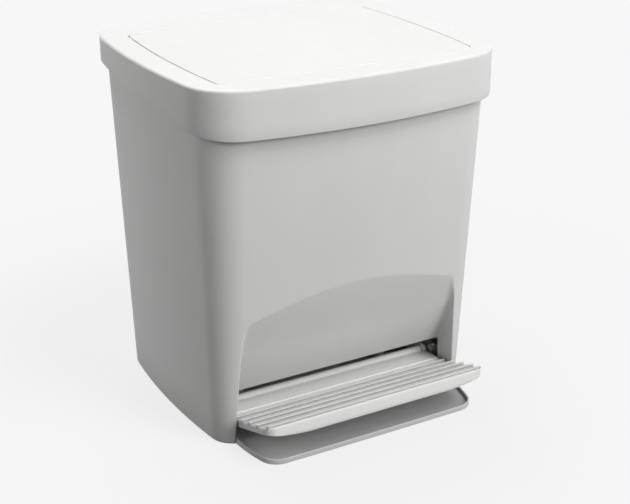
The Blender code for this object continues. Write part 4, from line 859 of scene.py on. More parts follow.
def add_tread(bm):
    stations = tread_stations()
    rings = [
        tread_ring(stations, TREAD_WALL, TREAD_PLATE),
        tread_ring(stations, TREAD_WALL, TREAD_PLATE, 0.97, inside=True),
        tread_ring(stations, TREAD_WALL - EDGE_BREAK, TREAD_PLATE, 1.0, inside=True),
        tread_ring(stations, SOFT_EDGE, 0.0, 1.0),
        *(tread_ring(stations, 0.0, 0.0, share) for share in (0.95, 0.75, 0.5, 0.3)),
        *(tread_ring(stations, inset, TREAD_EDGE_ROUND - rise)
          for inset, rise in quarter(TREAD_EDGE_ROUND, 7)),
    ]
    rows = [[bm.verts.new(point) for point in ring] for ring in rings]
    grid_faces(bm, rows, closed=True)
    add_tread_cap(bm, rows[-1], 0.0)
    add_tread_cap(bm, rows[0], TREAD_PLATE)


def arm_points():
    """Lever arm from the barrel back to the lift rod."""
    end = (PIVOT_Y + ARM_RADIUS * cos(HALF_PRESS), PIVOT_Z - ARM_RADIUS * sin(HALF_PRESS))
    start = -HALF_PRESS - pi / 2
    tip = arc(end, ARM_TIP_RADIUS, start, start + pi, 14, last=True)
    root = arc((PIVOT_Y, PIVOT_Z), ARM_ROOT_RADIUS, start + pi, start + 2 * pi, 14, last=True)
    return [*tip, *root]


def add_bead(bm):
    """Low rounded bead across the level part of the tread, behind the grip bars."""
    middle = BEND_Y + BEAD_BEHIND_BEND
    half = BEAD_WIDTH / 2
    profile = [(middle - half, -ROOT)]
    profile += [(middle - half * cos(pi * i / 10), BEAD_HEIGHT * sin(pi * i / 10)) for i in range(11)]
    profile.append((middle + half, -ROOT))
    length = PEDAL_HALF - TREAD_WALL
    add_bar(bm, [[(x, y, TREAD_LEVEL + z) for y, z in profile] for x in (-length, length)])


def pedal_plate(finish):
    bm = bmesh.new()
    add_tread(bm)
    bore, radius, end, edge = AXLE_RADIUS + SEAT_GAP, BARREL_RADIUS, BARREL_HALF, SOFT_EDGE
    add_lathe(bm, [
        (bore, -end), (radius - edge, -end), (radius, -end + edge), (radius, end - edge),
        (radius - edge, end), (bore, end), (bore, -end),
    ], (0, PIVOT_Y, PIVOT_Z), (1, 0, 0))
    slot = slot_points(
        PIVOT_Y + ARM_RADIUS * cos(HALF_PRESS), ROD_FOOT_Z, ROD_RADIUS + ROD_PLAY,
        ARM_RADIUS * (1 - cos(HALF_PRESS)) / 2 + ROD_PLAY, -HALF_PRESS,
    )
    for side in (-1, 1):
        add_plate(bm, arm_points(), [slot], *sorted((side * ARM_INNER_X, side * ARM_OUTER_X)))
    add_bead(bm)
    finish_piece(make_object("pedal_plate", bm), "pedal", finish)


# Node trees

class Value:
    """What a node gives: a number, colour, vector or mesh; arithmetic on a number adds its Math nodes."""

    def __init__(self, maker, socket):
        self.maker = maker
        self.socket = socket

    def math(self, operation, first, second=0.0):
        return self.maker.node("ShaderNodeMath", {0: first, 1: second}, operation=operation)

    def __add__(self, other):
        return self.math("ADD", self, other)

    def __radd__(self, other):
        return self.math("ADD", other, self)

    def __sub__(self, other):
        return self.math("SUBTRACT", self, other)

    def __rsub__(self, other):
        return self.math("SUBTRACT", other, self)

    def __mul__(self, other):
        return self.math("MULTIPLY", self, other)

    def __rmul__(self, other):
        return self.math("MULTIPLY", other, self)

    def __truediv__(self, other):
        return self.math("DIVIDE", self, other)

    def __mod__(self, other):
        return self.math("MODULO", self, other)

    def floor(self):
        return self.math("FLOOR", self)

    def least(self, other):
        return self.math("MINIMUM", self, other)

    def most(self, other):
        return self.math("MAXIMUM", self, other)


class NodeMaker:
    """Adds nodes to a tree, each in one call."""

    def __init__(self, tree):
        self.tree = tree

    def node(self, kind, sockets=(), output=0, **settings):
        """Adds a node: its settings first, then its sockets' numbers or links; gives one of its outputs."""
        made = self.tree.nodes.new(kind)
        for name, setting in settings.items():
            setattr(made, name, setting)
        for key, given in dict(sockets).items():
            if isinstance(given, Value):
                self.link(given, made.inputs[key])
            else:
                made.inputs[key].default_value = given
        return Value(self, made.outputs[output])

    def link(self, given, socket):
        self.tree.links.new(given.socket, socket)


# Repeated pieces are set out by Geometry Nodes

class Layout(NodeMaker):
    """A Geometry Nodes tree with named inputs."""

    def __init__(self, name, kinds):
        super().__init__(bpy.data.node_groups.new(name, "GeometryNodeTree"))
        interface = self.tree.interface
        self.identifiers = {}
        for label, kind in kinds.items():
            made = interface.new_socket(label, in_out="INPUT", socket_type=f"NodeSocket{kind}")
            self.identifiers[label] = made.identifier
        interface.new_socket("Geometry", in_out="OUTPUT", socket_type="NodeSocketGeometry")
        outputs = self.tree.nodes.new("NodeGroupInput").outputs
        self.inputs = {label: Value(self, outputs[label]) for label in kinds}

    def mesh_of(self, label):
        """The mesh of the object given to a named input."""
        return self.node("GeometryNodeObjectInfo", {"Object": self.inputs[label]}, output="Geometry")

    def close(self, geometry):
        """Realizes what is left, gives it its finish and ends the tree."""
        real = self.node("GeometryNodeRealizeInstances", {"Geometry": geometry})
        dressed = self.node("GeometryNodeSetMaterial", {"Geometry": real, "Material": self.inputs["Finish"]})
        self.link(dressed, self.tree.nodes.new("NodeGroupOutput").inputs[0])
        return self

    def grow(self, name, values):
        """Runs the tree on an empty mesh with these inputs and returns the plain mesh object."""
        base = bpy.data.objects.new(name, bpy.data.meshes.new(name))
        bpy.context.scene.collection.objects.link(base)
        modifier = base.modifiers.new("layout", "NODES")
        modifier.node_group = self.tree
        for label, value in values.items():
            modifier[self.identifiers[label]] = value
        settle(base)
        return base


def settle(made):
    """Turns what an object's modifiers make into its plain mesh."""
    bpy.context.view_layer.update()
    graph = bpy.context.evaluated_depsgraph_get()
    mesh = bpy.data.meshes.new_from_object(made.evaluated_get(graph))
    made.modifiers.clear()
    made.data = mesh


def row_layout():
    """Copies of a piece in a straight row, the first one scaled along X."""
    made = Layout("row_of_pieces", {
        "Piece": "Object", "Count": "Int", "Start": "Vector", "Step": "Vector", "First Length": "Float",
        "Finish": "Material",
    })
    given = made.inputs
    line = made.node("GeometryNodeMeshLine", {
        "Count": given["Count"], "Start Location": given["Start"], "Offset": given["Step"],
    }, mode="OFFSET")
    later = made.node("GeometryNodeInputIndex").least(1.0)
    length = later + (1.0 - later) * given["First Length"]
    scale = made.node("ShaderNodeCombineXYZ", {"X": length, "Y": 1.0, "Z": 1.0})
    return made.close(made.node("GeometryNodeInstanceOnPoints", {
        "Points": line, "Instance": made.mesh_of("Piece"), "Scale": scale,
    }))


def scatter_layout():
    """A copy of a piece at each vertex of another mesh, turned over where asked."""
    made = Layout("piece_at_each_place", {
        "Places": "Object", "Piece": "Object", "Turn": "Rotation", "Finish": "Material",
    })
    return made.close(made.node("GeometryNodeInstanceOnPoints", {
        "Points": made.mesh_of("Places"), "Instance": made.mesh_of("Piece"), "Rotation": made.inputs["Turn"],
    }))


def ruled_layout():
    """A wall ruled between two outlines of the same number of points, with rows up it."""
    made = Layout("ruled_wall", {
        "Lower": "Object", "Upper": "Object", "Around": "Int", "Rows": "Int", "Finish": "Material",
    })
    around, rows = made.inputs["Around"], made.inputs["Rows"]
    grid = made.node("GeometryNodeMeshGrid", {"Vertices X": around + 1.0, "Vertices Y": rows}, output="Mesh")
    index = made.node("GeometryNodeInputIndex")
    column = ((index + 0.25) / rows).floor()
    share = (index - column * rows) / (rows - 1.0)
    place = ((column + 0.25) % around).floor()
    position = made.node("GeometryNodeInputPosition")
    lower, upper = (made.node("GeometryNodeSampleIndex", {
        "Geometry": made.mesh_of(label), "Value": position, "Index": place,
    }, data_type="FLOAT_VECTOR") for label in ("Lower", "Upper"))
    mixed = made.node("ShaderNodeMix", {0: share, 4: lower, 5: upper}, output=1, data_type="VECTOR")
    wall = made.node("GeometryNodeSetPosition", {"Geometry": grid, "Position": mixed})
    return made.close(made.node("GeometryNodeMergeByDistance", {"Geometry": wall, "Distance": 0.01 * MM}))


ROW = row_layout()
SCATTER = scatter_layout()
RULED = ruled_layout()


def pattern_piece(name, bm, holes=None):
    """A piece that is only copied: made at the middle of the frame and left out of the scene's view."""
    made = make_object(name, bm, shift=False)
    if holes:
        cut(made, make_object(f"{name}_holes", holes, shift=False))
    bpy.context.scene.collection.objects.unlink(made)
    return made


def place_points(name, points):
    """An object with a vertex at each point of the working drawing."""
    mesh = bpy.data.meshes.new(name)
    mesh.from_pydata([(x, y + DRAWING_Y, z) for x, y, z in points], [], [])
    return bpy.data.objects.new(name, mesh)


def row_of(name, node, piece, count, start, step, finish, first_length=1.0):
    """A row of copies as one piece; start and step are (x, y, z) in the working drawing."""
    made = ROW.grow(name, {
        "Piece": piece, "Count": count, "Start": (start[0], start[1] + DRAWING_Y, start[2]), "Step": step,
        "First Length": first_length, "Finish": finish,
    })
    finish_piece(made, node, finish)


def scattered(name, nodes, piece, places, finish, turn=(0, 0, 0)):
    """A copy at each place as one piece, which stands for all its CAD nodes."""
    made = SCATTER.grow(name, {
        "Places": place_points(f"{name}_places", places), "Piece": piece, "Turn": turn, "Finish": finish,
    })
    finish_piece(made, nodes[0], finish)
    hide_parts(*nodes)


def four_places(x, ys, z):
    """Left and right, front and back."""
    return [(side * x, y, z) for side in (-1, 1) for y in ys]


def four_nodes(stem):
    """Names of the CAD nodes at four places, in the same order."""
    return [f"{stem}_{side}_{end}" for side in ("left", "right") for end in ("front", "back")]


# Grip bars, cell webs and flap ribs

GRIP_BARS = 5
BAR_PITCH = 19.8 * MM
BAR_WIDTH = 5 * MM
BAR_HEIGHT = 3.6 * MM
BAR_DROP = 3.4 * MM
BAR_PROUD = 1.1 * MM
BAR_FROM_LIP = 5.5 * MM
BAR_TOP_ROUND = 1.5 * MM
BAR_END_ROUND = 1.2 * MM
CELLS = 7
WEB_HALF = 1 * MM
WEB_SUNK = 1.2 * MM
WEB_SHORT = 1 * MM
WEB_LIP_RUN = 14 * MM
RIBS = 3


def bar_section(inset):
    """Across a grip bar in the tread's slope: rounded top corners, moved in by an inset."""
    half = BAR_WIDTH / 2 - inset
    low = -BAR_DROP + inset
    rounding = max(BAR_TOP_ROUND - inset, 0.2 * MM)
    points = [(-half, low), *round_top(-half, half, BAR_HEIGHT - inset, rounding), (half, low)]
    along, up = cos(TREAD_SLOPE), sin(TREAD_SLOPE)
    return [(y * along - z * up, -y * up + z * along) for y, z in points]


def grip_bars(finish):
    bm = bmesh.new()
    reach = PEDAL_HALF + BAR_PROUD
    ends = [(reach - inset, BAR_END_ROUND - rise) for inset, rise in quarter(BAR_END_ROUND, 4)]
    stations = [(-x, inset) for x, inset in ends] + [(x, inset) for x, inset in reversed(ends)]
    add_bar(bm, [[(x, y, z) for y, z in bar_section(inset)] for x, inset in stations])
    first = on_tread(BAR_FROM_LIP, 0)
    second = on_tread(BAR_FROM_LIP + BAR_PITCH / cos(TREAD_SLOPE), 0)
    row_of("grip_bars", "pedal", pattern_piece("grip_bar", bm), GRIP_BARS, (0, *first),
           (0, second[0] - first[0], second[1] - first[1]), finish, (reach - LIP_CORNER / 4) / reach)


def cell_webs(finish):
    """Webs under the tread between its front lip and the barrel."""
    bm = bmesh.new()
    back = PIVOT_Y + BARREL_RADIUS
    top = TREAD_LEVEL - WEB_SUNK
    low = TREAD_LEVEL - TREAD_SKIRT
    profile = [
        (back, top), (BEND_Y, top), on_tread(TREAD_WALL, WEB_SUNK),
        on_tread(LIP_THICK, LIP_HEIGHT - WEB_SHORT), on_tread(WEB_LIP_RUN, TREAD_SKIRT), (BEND_Y, low), (back, low),
    ]
    add_bar(bm, [[(x, y, z) for y, z in profile] for x in (-WEB_HALF, WEB_HALF)])
    pitch = (2 * PEDAL_HALF - 2 * TREAD_WALL + 2 * WEB_HALF) / CELLS
    row_of("tread_webs", "pedal", pattern_piece("cell_web", bm), CELLS - 1,
           (-PEDAL_HALF + TREAD_WALL + pitch - WEB_HALF, 0, 0), (pitch, 0, 0), finish)


def flap_ribs(finish):
    """Ribs across the flap's stiffening ring, from its front to the hinge."""
    bm = bmesh.new()
    half = STIFFENER_WALL / 2
    front = -FLAP_PLAN.front + STIFFENER_INSET + half
    low = STIFFENER_LOW + STIFFENER_WALL
    add_block(bm, (-half, front, low), (half, HINGE_Y, LID_UNDERSIDE + ROOT))
    inner = FLAP_PLAN.width / 2 - STIFFENER_INSET - half
    pitch = 2 * inner / (RIBS + 1)
    rib = pattern_piece("flap_rib", bm)
    row_of("flap_ribs", "lid_flap", rib, RIBS, (-inner + pitch, 0, 0), (pitch, 0, 0), finish)


# Base tray

TRAY_UNDERSIDE = 0.6 * MM
TRAY_FLOOR_TOP = 2.7 * MM
TRAY_RIM_TOP = 7.1 * MM
TRAY_WALL = 2.4 * MM
TONGUE_PLAN = Plan(308.4 * MM, 204 * MM, -51 * MM, 0.8 * MM, 0.8 * MM, 13.5 * MM, 24 * MM)
UPSTAND_FRONT_Y = -96 * MM
BEARING_INNER_X = 151.8 * MM
BEARING_OUTER_X = 162.8 * MM
BEARING_X = (BEARING_INNER_X + BEARING_OUTER_X) / 2
BEARING_HALF_LENGTH = 13 * MM
CAP_HEIGHT = 7 * MM
CAP_SCREW_PITCH = 16 * MM
BOSS_X = 104 * MM
BOSS_YS = (-46 * MM, 108 * MM)
FOOT_PAD_X = 132 * MM
FOOT_PAD_YS = (-112 * MM, 100 * MM)
FOOT_PAD_RADIUS = 9 * MM
FOOT_PAD_TOP = 1.7 * MM
SCREW_SEAT_Z = 3.1 * MM
SCREW_HEAD_RADIUS = 3.6 * MM
SCREW_HEAD_HEIGHT = 2.2 * MM
SCREW_RADIUS = 1.8 * MM
SCREW_LENGTH = 12 * MM
PILOT_SPARE = 2 * MM
BOSS_LOW = 6.2 * MM
BOSS_RADIUS = 5.5 * MM
BOSS_SUNK = 1.5 * MM
SCREW_PAD_RADIUS = 8 * MM
SCREW_PAD_HEIGHT = 4.5 * MM
GUIDE_INNER_X = 153 * MM
GUIDE_HALF_DEPTH = 8 * MM
GUIDE_LOW = 240 * MM
GUIDE_HIGH = 252 * MM
GUIDE_BORE = 3.1 * MM
GUIDE_LOOK = 14 * MM
TRAY_INSET = 1 * MM
TONGUE_SINK = 0.03 * MM
CAP_SPLIT = 0.15 * MM
BEARING_CUT = 10 * MM
TRAY_EDGE = 0.35 * MM
RIM_ROUND = 0.6 * MM
UPSTAND_RISE = 8 * MM
CUT_LOW = -5 * MM


def add_rod_guide(bm, side):
    """Eye on the body's wall that keeps a lift rod upright: a block with a bore down through it."""
    wall = body_outline(GUIDE_LOW, -SHELL_WALL / 2)
    inner, outer = GUIDE_INNER_X, min(x for x, y in wall if x > 0 and abs(y - ROD_Y) < GUIDE_LOOK)
    low, high = ROD_Y - GUIDE_HALF_DEPTH, ROD_Y + GUIDE_HALF_DEPTH
    corners = [(inner, low), (outer, low), (outer, high), (inner, high)]
    steps = 8
    around = []
    for i, (x, y) in enumerate(corners):
        nx, ny = corners[(i + 1) % 4]
        around += [(x + (nx - x) * n / steps, y + (ny - y) * n / steps) for n in range(steps)]
    bore = []
    for x, y in around:
        angle = atan2(y - ROD_Y, x - ROD_X)
        bore.append((ROD_X + GUIDE_BORE * cos(angle), ROD_Y + GUIDE_BORE * sin(angle)))
    rows = [add_ring(bm, [(side * x, y) for x, y in points], z) for points, z in (
        (around, GUIDE_LOW), (around, GUIDE_HIGH), (bore, GUIDE_HIGH), (bore, GUIDE_LOW),
    )]
    grid_faces(bm, [*rows, rows[0]], closed=True)


def rim_height(low, high):
    """The tongue's rim ends where the tray goes in under the body."""
    return lambda x, y: high if y < SCOOP_BACK_Y - SCOOP_FILLET else low


def base_tray(finish):
    bm = bmesh.new()
    foot = outline(FOOT_PLAN, -TRAY_INSET)
    foot_edge = outline(FOOT_PLAN, -TRAY_INSET - TRAY_EDGE)
    add_capped_shell(bm, [
        (foot_edge, TRAY_UNDERSIDE), (foot, TRAY_UNDERSIDE + TRAY_EDGE), (foot, TRAY_FLOOR_TOP - TRAY_EDGE),
        (foot_edge, TRAY_FLOOR_TOP),
    ])
    # The tongue's flats lie a hair inside the tray's, so the two join cleanly
    low, top = TRAY_UNDERSIDE + TONGUE_SINK, TRAY_FLOOR_TOP - TONGUE_SINK
    rim = [(inset, rim_height(top, TRAY_RIM_TOP - RIM_ROUND + rise)) for inset, rise in quarter(RIM_ROUND, 3)]
    add_capped_shell(bm, [
        (outline(TONGUE_PLAN, -TRAY_EDGE), low), (outline(TONGUE_PLAN), TRAY_UNDERSIDE + TRAY_EDGE),
        *((outline(TONGUE_PLAN, -inset), level) for inset, level in rim),
        *((outline(TONGUE_PLAN, inset - TRAY_WALL), level) for inset, level in reversed(rim)),
        (outline(TONGUE_PLAN, -TRAY_WALL), rim_height(top, top + EDGE_BREAK)),
        (outline(TONGUE_PLAN, -TRAY_WALL - EDGE_BREAK), top),
    ])
    add_upstand(bm)
    for side in (-1, 1):
        low_x, high_x = sorted((side * BEARING_INNER_X, side * BEARING_OUTER_X))
        add_block(bm, (low_x, PIVOT_Y - BEARING_HALF_LENGTH, TRAY_UNDERSIDE + ROOT),
                  (high_x, PIVOT_Y + BEARING_HALF_LENGTH, PIVOT_Z - CAP_SPLIT))
    radius, height = SCREW_PAD_RADIUS, SCREW_PAD_HEIGHT
    pad = [(0, 0), (radius, 0), (radius, height - SOFT_EDGE), (radius - RIM_ROUND, height), (0, height)]
    for place in four_places(BOSS_X, BOSS_YS, TRAY_UNDERSIDE + ROOT):
        add_lathe(bm, pad, place, (0, 0, 1))
    tray = make_object("tray", bm)
    cutter = bmesh.new()
    for place in four_places(BOSS_X, BOSS_YS, CUT_LOW):
        add_drum(cutter, SCREW_HEAD_RADIUS + SEAT_GAP, 0, SCREW_SEAT_Z + SEAT_GAP - CUT_LOW, place)
    for place in four_places(FOOT_PAD_X, FOOT_PAD_YS, CUT_LOW):
        add_drum(cutter, FOOT_PAD_RADIUS + SEAT_GAP, 0, FOOT_PAD_TOP + SEAT_GAP - CUT_LOW, place)
    for side in (-1, 1):
        place = (side * BEARING_X, PIVOT_Y, PIVOT_Z)
        add_drum(cutter, AXLE_RADIUS + SEAT_GAP, -BEARING_CUT, BEARING_CUT, place, (1, 0, 0))
    cut(tray, make_object("tray_holes", cutter))
    finish_piece(tray, "base_tray", finish)


def add_upstand(bm):
    """Low wall of the tray inside the body, from behind the pedal's bearings round the back."""
    outer = body_outline(GROUND_GAP, -SHELL_WALL - RIM_PLAY)
    inner = body_outline(GROUND_GAP, -SHELL_WALL - RIM_PLAY - TRAY_WALL)
    kept = [i for i, (x, y) in enumerate(outer) if y > UPSTAND_FRONT_Y]
    start = next(i for i in kept if i - 1 not in kept)
    low = TRAY_UNDERSIDE + ROOT
    high = TRAY_FLOOR_TOP + UPSTAND_RISE
    rows = []
    for n in range(len(kept)):
        i = (start + n) % len(outer)
        (ox, oy), (ix, iy) = outer[i], inner[i]
        dx, dy = (ix - ox) * 0.15, (iy - oy) * 0.15
        rows.append([
            (ox, oy, low), (ox, oy, high - EDGE_BREAK), (ox + dx, oy + dy, high), (ix - dx, iy - dy, high),
            (ix, iy, high - EDGE_BREAK), (ix, iy, low),
        ])
    add_bar(bm, rows)


def cut(target, holes):
    """Joins the target's overlapping parts into one and takes the holes out."""
    modifier = target.modifiers.new("holes", "BOOLEAN")
    modifier.operation = "DIFFERENCE"
    modifier.solver = "EXACT"
    modifier.use_self = True
    modifier.object = holes
    settle(target)
    bpy.data.objects.remove(holes)


# Inner bucket

BUCKET_RIM_Z = 400 * MM
BUCKET_LOW_Z = 57.3 * MM
BUCKET_WALL = 1.9 * MM
BUCKET_FLANGE = 5.5 * MM
BUCKET_RIM_PLAN = Plan(280 * MM, 124 * MM, 88 * MM, 3 * MM, 3 * MM, 3 * MM, 26 * MM)
BUCKET_BASE_PLAN = Plan(262 * MM, 96 * MM, 78 * MM, 3 * MM, 3 * MM, 3 * MM, 26 * MM)
BUCKET_BASE_ROUND = 4 * MM
BUCKET_WALL_ROWS = 40
FLANGE_THICK = 2 * MM
FLANGE_DROP = 7 * MM
FLANGE_ROUND = 1.2 * MM
RIM_BREAK = 1 * MM
MERGE_REACH = 0.02 * MM
GRIP_RADIUS = 11 * MM
GRIP_REACH = 31 * MM
GRIP_FROM_RIM = 16 * MM
GRIP_CUT = 250 * MM


def bucket_outline(height, grow):
    share = (height - BUCKET_LOW_Z) / (BUCKET_RIM_Z - BUCKET_LOW_Z)
    return between(outline(BUCKET_BASE_PLAN, grow), outline(BUCKET_RIM_PLAN, grow), share)


def bucket_wall(name, low, high, grow):
    """One face of the bucket's tapered wall, ruled by Geometry Nodes between its base and its rim."""
    lower, upper = (place_points(f"{name}_{word}", [(x, y, z) for x, y in bucket_outline(z, grow)])
                    for word, z in (("low", low), ("high", high)))
    return RULED.grow(name, {
        "Lower": lower, "Upper": upper, "Around": len(lower.data.vertices), "Rows": BUCKET_WALL_ROWS,
        "Finish": None,
    })

def inner_bucket(finish):
    rounding = BUCKET_BASE_ROUND
    top = BUCKET_RIM_Z
    inner_low = BUCKET_LOW_Z + BUCKET_WALL
    outer = bucket_wall("bucket_outside", BUCKET_LOW_Z + rounding, top - FLANGE_THICK, 0.0)
    inner = bucket_wall("bucket_inside", inner_low + rounding, top - RIM_BREAK, -BUCKET_WALL)
    bm = bmesh.new()
    for wall in (outer, inner):
        bm.from_mesh(wall.data)
        bpy.data.objects.remove(wall)
    bmesh.ops.translate(bm, vec=(0, -DRAWING_Y, 0), verts=bm.verts)
    for low, grow in ((BUCKET_LOW_Z, 0.0), (inner_low, -BUCKET_WALL)):
        rings = [add_ring(bm, bucket_outline(low + rounding - rise, grow - inset), low + rounding - rise)
                 for inset, rise in quarter(rounding, 5)]
        grid_faces(bm, rings, closed=True)
        rings.append(add_ring(bm, bucket_outline(low, grow - rounding - SOFT_EDGE), low))
        grid_faces(bm, rings[-2:], closed=True)
        add_cap(bm, rings[-1])
    under, outside, inside = top - FLANGE_THICK, BUCKET_FLANGE, -BUCKET_WALL
    flange = [
        (0.0, under), (outside - BUCKET_WALL, under), (outside - BUCKET_WALL, top - FLANGE_DROP),
        (outside, top - FLANGE_DROP), (outside, top - FLANGE_ROUND), (outside - EDGE_BREAK, top - EDGE_BREAK),
        (outside - FLANGE_ROUND, top), (inside + RIM_BREAK, top), (inside + FLAT_STEP, top - FLAT_STEP),
        (inside, top - RIM_BREAK),
    ]
    rows = [add_ring(bm, bucket_outline(z, grow), z) for grow, z in flange]
    grid_faces(bm, rows, closed=True)
    bmesh.ops.remove_doubles(bm, verts=bm.verts, dist=MERGE_REACH)
    bucket = make_object("bucket", bm)
    middle_y = (BUCKET_RIM_PLAN.back - BUCKET_RIM_PLAN.front) / 2
    grip = slot_points(middle_y, top - GRIP_FROM_RIM - GRIP_RADIUS, GRIP_RADIUS, GRIP_REACH, 0.0)
    cutter = bmesh.new()
    add_bar(cutter, [[(x, y, z) for y, z in grip] for x in (-GRIP_CUT, GRIP_CUT)])
    cut(bucket, make_object("grip_holes", cutter))
    finish_piece(bucket, "inner_bucket", finish)


# Rods, pins, caps and screws

ROD_BEND = 6 * MM
ROD_SIDES = 24
ROD_CHAMFER = 0.5 * MM
ROD_FOOT_END = 137.5 * MM
ROD_HEAD_END = 146 * MM
RETAINER_RADIUS = 5 * MM
RETAINER_THICK = 2 * MM
AXLE_HALF = 161.5 * MM
CAP_ROUND = 2 * MM
THREAD_TURNS = 9
THREAD_START = 1.2 * MM
THREAD_LEFT_OUT = 3.4 * MM
THREAD_DEPTH = 0.35 * MM
THREAD_HALF_PITCH = 0.45 * MM
SCREW_TIP = 1.5 * MM
CROSS_ARM = 1.9 * MM
CROSS_HALF_WIDTH = 0.45 * MM
CROSS_DEPTH = 1.3 * MM
CROSS_EDGE = 0.1 * MM
FOOT_HOLLOW_RADIUS = 6.2 * MM
FOOT_HOLLOW_DEPTH = 0.3 * MM
BUFFER_RADIUS = 2.8 * MM
BUFFER_DOME = 0.8 * MM
BUFFER_X = 104 * MM


def lift_rod(side, word, finish):
    """Round wire: foot through the pedal's arm, straight up the side, head through the flap's cheek."""
    bend = ROD_BEND
    path = [(ROD_FOOT_END, ROD_FOOT_Z), (ROD_FOOT_END + ROD_CHAMFER, ROD_FOOT_Z)]
    path += arc((ROD_X - bend, ROD_FOOT_Z + bend), bend, -pi / 2, 0, 12, last=True)
    path += [(ROD_X, ROD_FOOT_Z + (ROD_HEAD_Z - ROD_FOOT_Z) * share) for share in (0.2, 0.4, 0.6, 0.8)]
    path += arc((ROD_X - bend, ROD_HEAD_Z - bend), bend, 0, pi / 2, 12, last=True)
    path += [(ROD_HEAD_END + ROD_CHAMFER, ROD_HEAD_Z), (ROD_HEAD_END, ROD_HEAD_Z)]
    rows = []
    for i, (x, z) in enumerate(path):
        before = path[max(i - 1, 0)]
        after = path[min(i + 1, len(path) - 1)]
        angle = atan2(after[1] - before[1], after[0] - before[0])
        radius = ROD_RADIUS - (ROD_CHAMFER if i in (0, len(path) - 1) else 0)
        row = []
        for n in range(ROD_SIDES):
            turn = 2 * pi * n / ROD_SIDES
            out = radius * cos(turn)
            row.append((side * (x - out * sin(angle)), ROD_Y + radius * sin(turn), z + out * cos(angle)))
        rows.append(row)
    bm = bmesh.new()
    add_bar(bm, rows)
    finish_piece(make_object(f"rod_{word}", bm), f"lift_rod_{word}", finish)


def retainers(side, word, finish):
    """Push-on caps at a rod's foot and head: rings with a rounded edge."""
    bore, radius, half = ROD_RADIUS + 0.05 * MM, RETAINER_RADIUS, RETAINER_THICK / 2
    profile = [
        (bore, -half), (radius - 0.3 * MM, -half), (radius, -half + 0.3 * MM), (radius, half - 0.7 * MM),
        (radius - 0.3 * MM, half - 0.25 * MM), (radius - 0.9 * MM, half), (bore, half), (bore, -half),
    ]
    for end, inner_x, z in (("foot", ARM_INNER_X, ROD_FOOT_Z), ("head", CHEEK_INNER_X, ROD_HEAD_Z)):
        bm = bmesh.new()
        add_lathe(bm, profile, (side * (inner_x - half - SEAT_GAP), ROD_Y, z), (-side, 0, 0), 32)
        bmesh.ops.remove_doubles(bm, verts=bm.verts, dist=0.001 * MM)
        finish_piece(make_object(f"retainer_{end}_{word}", bm), f"rod_{end}_retainer_{word}", finish)


def turned_bar(name, node, start_x, end_x, y, z, radius, finish):
    """A round pin with chamfered ends, between two places across X."""
    bm = bmesh.new()
    length = abs(end_x - start_x)
    inner, top = radius - EDGE_BREAK, length - EDGE_BREAK
    profile = [(0, 0), (inner, 0), (radius, EDGE_BREAK), (radius, top), (inner, length), (0, length)]
    add_lathe(bm, profile, (start_x, y, z), (1 if end_x > start_x else -1, 0, 0), 32)
    finish_piece(make_object(name, bm), node, finish)


def bearing_cap(side, word, finish):
    """Saddle over the axle, with rounded edges and the axle's half bore."""
    low = PIVOT_Z + CAP_SPLIT
    radius = AXLE_RADIUS + SEAT_GAP
    front, back = PIVOT_Y - BEARING_HALF_LENGTH, PIVOT_Y + BEARING_HALF_LENGTH
    angles = [pi * i / 16 for i in range(1, 16)]
    bore = [(PIVOT_Y - radius * cos(angle), PIVOT_Z + radius * sin(angle)) for angle in angles]
    profile = [
        (front, low), (PIVOT_Y - radius, low), *bore, (PIVOT_Y + radius, low), (back, low),
        *reversed(round_top(front, back, low + CAP_HEIGHT, CAP_ROUND)),
    ]
    bm = bmesh.new()
    add_plate(bm, profile, [], *sorted((side * BEARING_INNER_X, side * BEARING_OUTER_X)))
    finish_piece(make_object(f"axle_cap_{word}", bm), f"bearing_cap_{word}", finish)


def screw_pattern():
    """Pan-head screw with a cross recess; its head is up and its seat is at the middle of the frame."""
    height, radius, shank = SCREW_HEAD_HEIGHT, SCREW_HEAD_RADIUS, SCREW_RADIUS
    thread = []
    for i in range(THREAD_TURNS):
        z = -THREAD_START - i * (SCREW_LENGTH - THREAD_LEFT_OUT) / THREAD_TURNS
        thread += [(shank, z), (shank - THREAD_DEPTH, z - THREAD_HALF_PITCH)]
    bm = bmesh.new()
    add_lathe(bm, [
        (0, height), *reversed(dome(radius, 0.45 * height, height, 6)), (radius, 0), (shank, 0), *thread,
        (shank - SOFT_EDGE, -SCREW_LENGTH + SCREW_TIP), (0, -SCREW_LENGTH),
    ], (0, 0, 0), (0, 0, 1), 24)
    cross = bmesh.new()
    for x, y in ((CROSS_ARM, CROSS_HALF_WIDTH), (CROSS_HALF_WIDTH, CROSS_ARM)):
        add_block(cross, (-x, -y, height - CROSS_DEPTH), (x, y, height + 1 * MM), CROSS_EDGE)
    return pattern_piece("screw_pattern", bm, cross)


def screws(finish):
    screw = screw_pattern()
    places = four_places(BOSS_X, BOSS_YS, SCREW_SEAT_Z)
    scattered("base_screws", four_nodes("base_screw"), screw, places, finish, (pi, 0, 0))
    ys = (PIVOT_Y - CAP_SCREW_PITCH / 2, PIVOT_Y + CAP_SCREW_PITCH / 2)
    places = four_places(BEARING_X, ys, PIVOT_Z + CAP_HEIGHT + 2 * CAP_SPLIT)
    scattered("cap_screws", four_nodes("cap_screw"), screw, places, finish)


